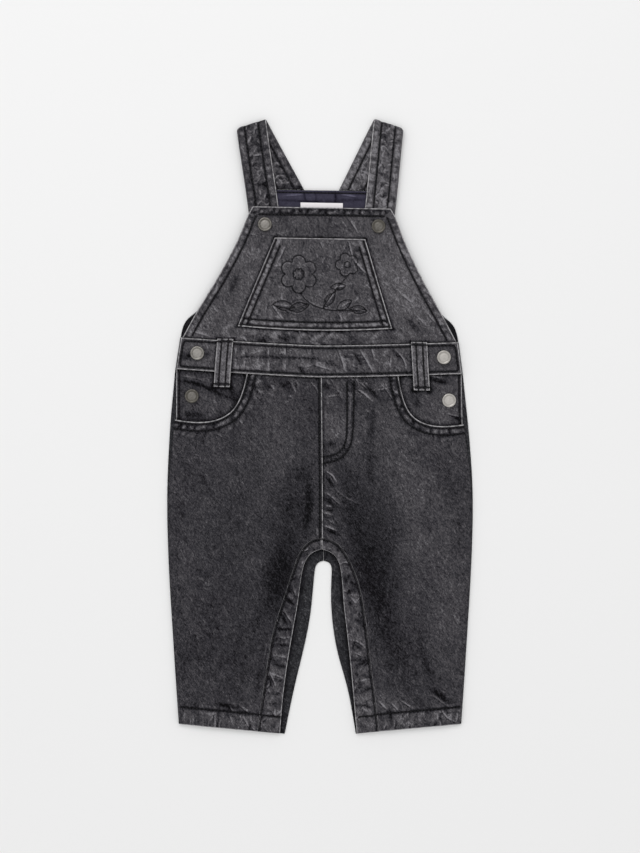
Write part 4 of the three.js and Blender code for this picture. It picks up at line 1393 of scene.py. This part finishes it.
for word, way in (("left", -1), ("right", 1)):
    strap = Panel(f"strap_{word}", levels=3, tone=STRAP_TONES[word], thick=1.8)
    width, length = strap.unroll()
    print("strap unrolled:", round(width, 1), "by", round(length, 1), "mm")
    strap.round_corner((way * 71, 253.2), along=(-way * 25, 7.7), down=(-way * 10.5, -73), radius=3.5)
    for x, faint in ((0, 0.0), (width, 0.35)):
        strap.worn(drawn((x, 0), (x, length)), width=0.9, faint=faint)
    for x, towards in zip(STRAP_ROWS, (-1, 1)):
        row = drawn((x, 1), (x, length - 1))
        strap.sew(row, depth=0.34)
        strap.rows.append((row, 0, 1.0))
        lumps = drawn((x + 8 * towards, 0), (x + 8 * towards, length))
        strap.pucker(lumps, start=2.0, end=7.2, step=6.0, height=0.36, seed=way * x)
    strap.wrinkles(150, height=0.20, length=5, angle=-50, seed=way + 51, spread=40,
                   low=(8, 0), high=(18, length))
    strap.crease(-0.3, 1.2, (1, length - 3), (width - 1, length - 3))
    strap.shade(width / 2, length - 6, (14, 5), -0.14)
    strap.rumple(height=0.16, size=7)
    strap.area = width * length * MM**2
    strap.finish(rests_on=["back_bib_cloth"], under=washed_denim, flat=(width * MM, length * MM))

# %% Neck facing and label
facing = Panel("neck_facing", levels=3, tone=0.72)
facing.sew(facing.side(0, 200, inset=2.0), depth=0.2)
facing.crease(-0.3, 1.0, (-44, 193), (-20, 191.5), (0, 191), (20, 191.5), (44, 193))
facing.crease(0.24, 1.6, (-30, 196), (-14, 197))
facing.crease(0.24, 1.6, (18, 197), (32, 195))
for x, height in ((-12.7, -0.3), (13.6, -0.35), (-3, -0.15)):
    facing.crease(height, 1.0, (x - 0.8, 200), (x, 188))
facing.rumple(height=0.1)
facing.finish(rests_on=["back_bib_cloth"], slot="navy_twill", surface=navy_twill, under=navy_twill)
label = Panel("neck_label", levels=3, tone=0.5)
label.rumple(height=0.12, size=12)
label.finish(rests_on=["neck_facing_cloth"], slot="white_tape", surface=white_tape, under=white_tape)

# %% [markdown]
# ## Press fasteners
#
# Each cap is stamped from thin metal: a rolled rim, a shallow groove inside it, and a low dome. A
# cap is round about its own axis, so its profile is spun once round. The plating is painted darker
# in the groove and on the outer side of the rim, for the shade there and the grime in the groove.

# %% Caps
CAP_PROFILE = [
    # distance from the axis and height, in millimetres
    (0, 0), (5.3, 0), (5.8, 0.3), (6.0, 0.9), (5.95, 1.5), (5.65, 1.9), (5.2, 2.08), (4.75, 2.02),
    (4.4, 1.82), (4.0, 1.72), (3.2, 1.84), (2.0, 1.98), (0, 2.05),
]
CAP_STEPS = 48
GROOVE = {"radius": 4.4, "half": 0.5}
RIM_RADIUS = 5.5
SHADE_AND_GRIME = 0.28
SHINE = {
    "snap_bib_left": 0.34, "snap_bib_right": 0.12, "snap_waist_left": 0.48, "snap_waist_right": 0.84,
    "snap_side_left": 0.18, "snap_side_right": 0.88,
}

for node, shine in SHINE.items():
    low, high = (Vector(corner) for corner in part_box(node))
    seat = Vector(((low.x + high.x) / 2, (low.y + high.y) / 2, low.z))
    bm = bmesh.new()
    verts = [bm.verts.new((r * MM, 0, z * MM)) for r, z in CAP_PROFILE]
    edges = [bm.edges.new(pair) for pair in zip(verts, verts[1:])]
    bmesh.ops.spin(bm, geom=verts + edges, cent=(0, 0, 0), axis=(0, 0, 1), angle=2 * math.pi,
                   steps=CAP_STEPS, use_merge=True)
    bmesh.ops.remove_doubles(bm, verts=bm.verts, dist=WELD)
    bmesh.ops.recalc_face_normals(bm, faces=bm.faces)
    bmesh.ops.translate(bm, verts=bm.verts, vec=seat)
    mesh = bpy.data.meshes.new(f"{node}_cap")
    bm.to_mesh(mesh)
    bm.free()
    radii = np.array([math.hypot(v.co.x - seat.x, v.co.y - seat.y) / MM for v in mesh.vertices])
    # darker in the groove and on the rim's outer side: painted shade, and grime in the groove
    shade_and_grime_mask = (radii > RIM_RADIUS) | (abs(radii - GROOVE["radius"]) < GROOVE["half"])
    mesh.attributes.new("shine", "FLOAT", "POINT").data.foreach_set("value", shine - SHADE_AND_GRIME * shade_and_grime_mask)
    mesh.materials.append(satin_nickel)
    mesh.shade_smooth()
    cap = bpy.data.objects.new(mesh.name, mesh)
    bpy.context.collection.objects.link(cap)
    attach(cap, "root")
    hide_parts(node)
print("caps:", len(SHINE))
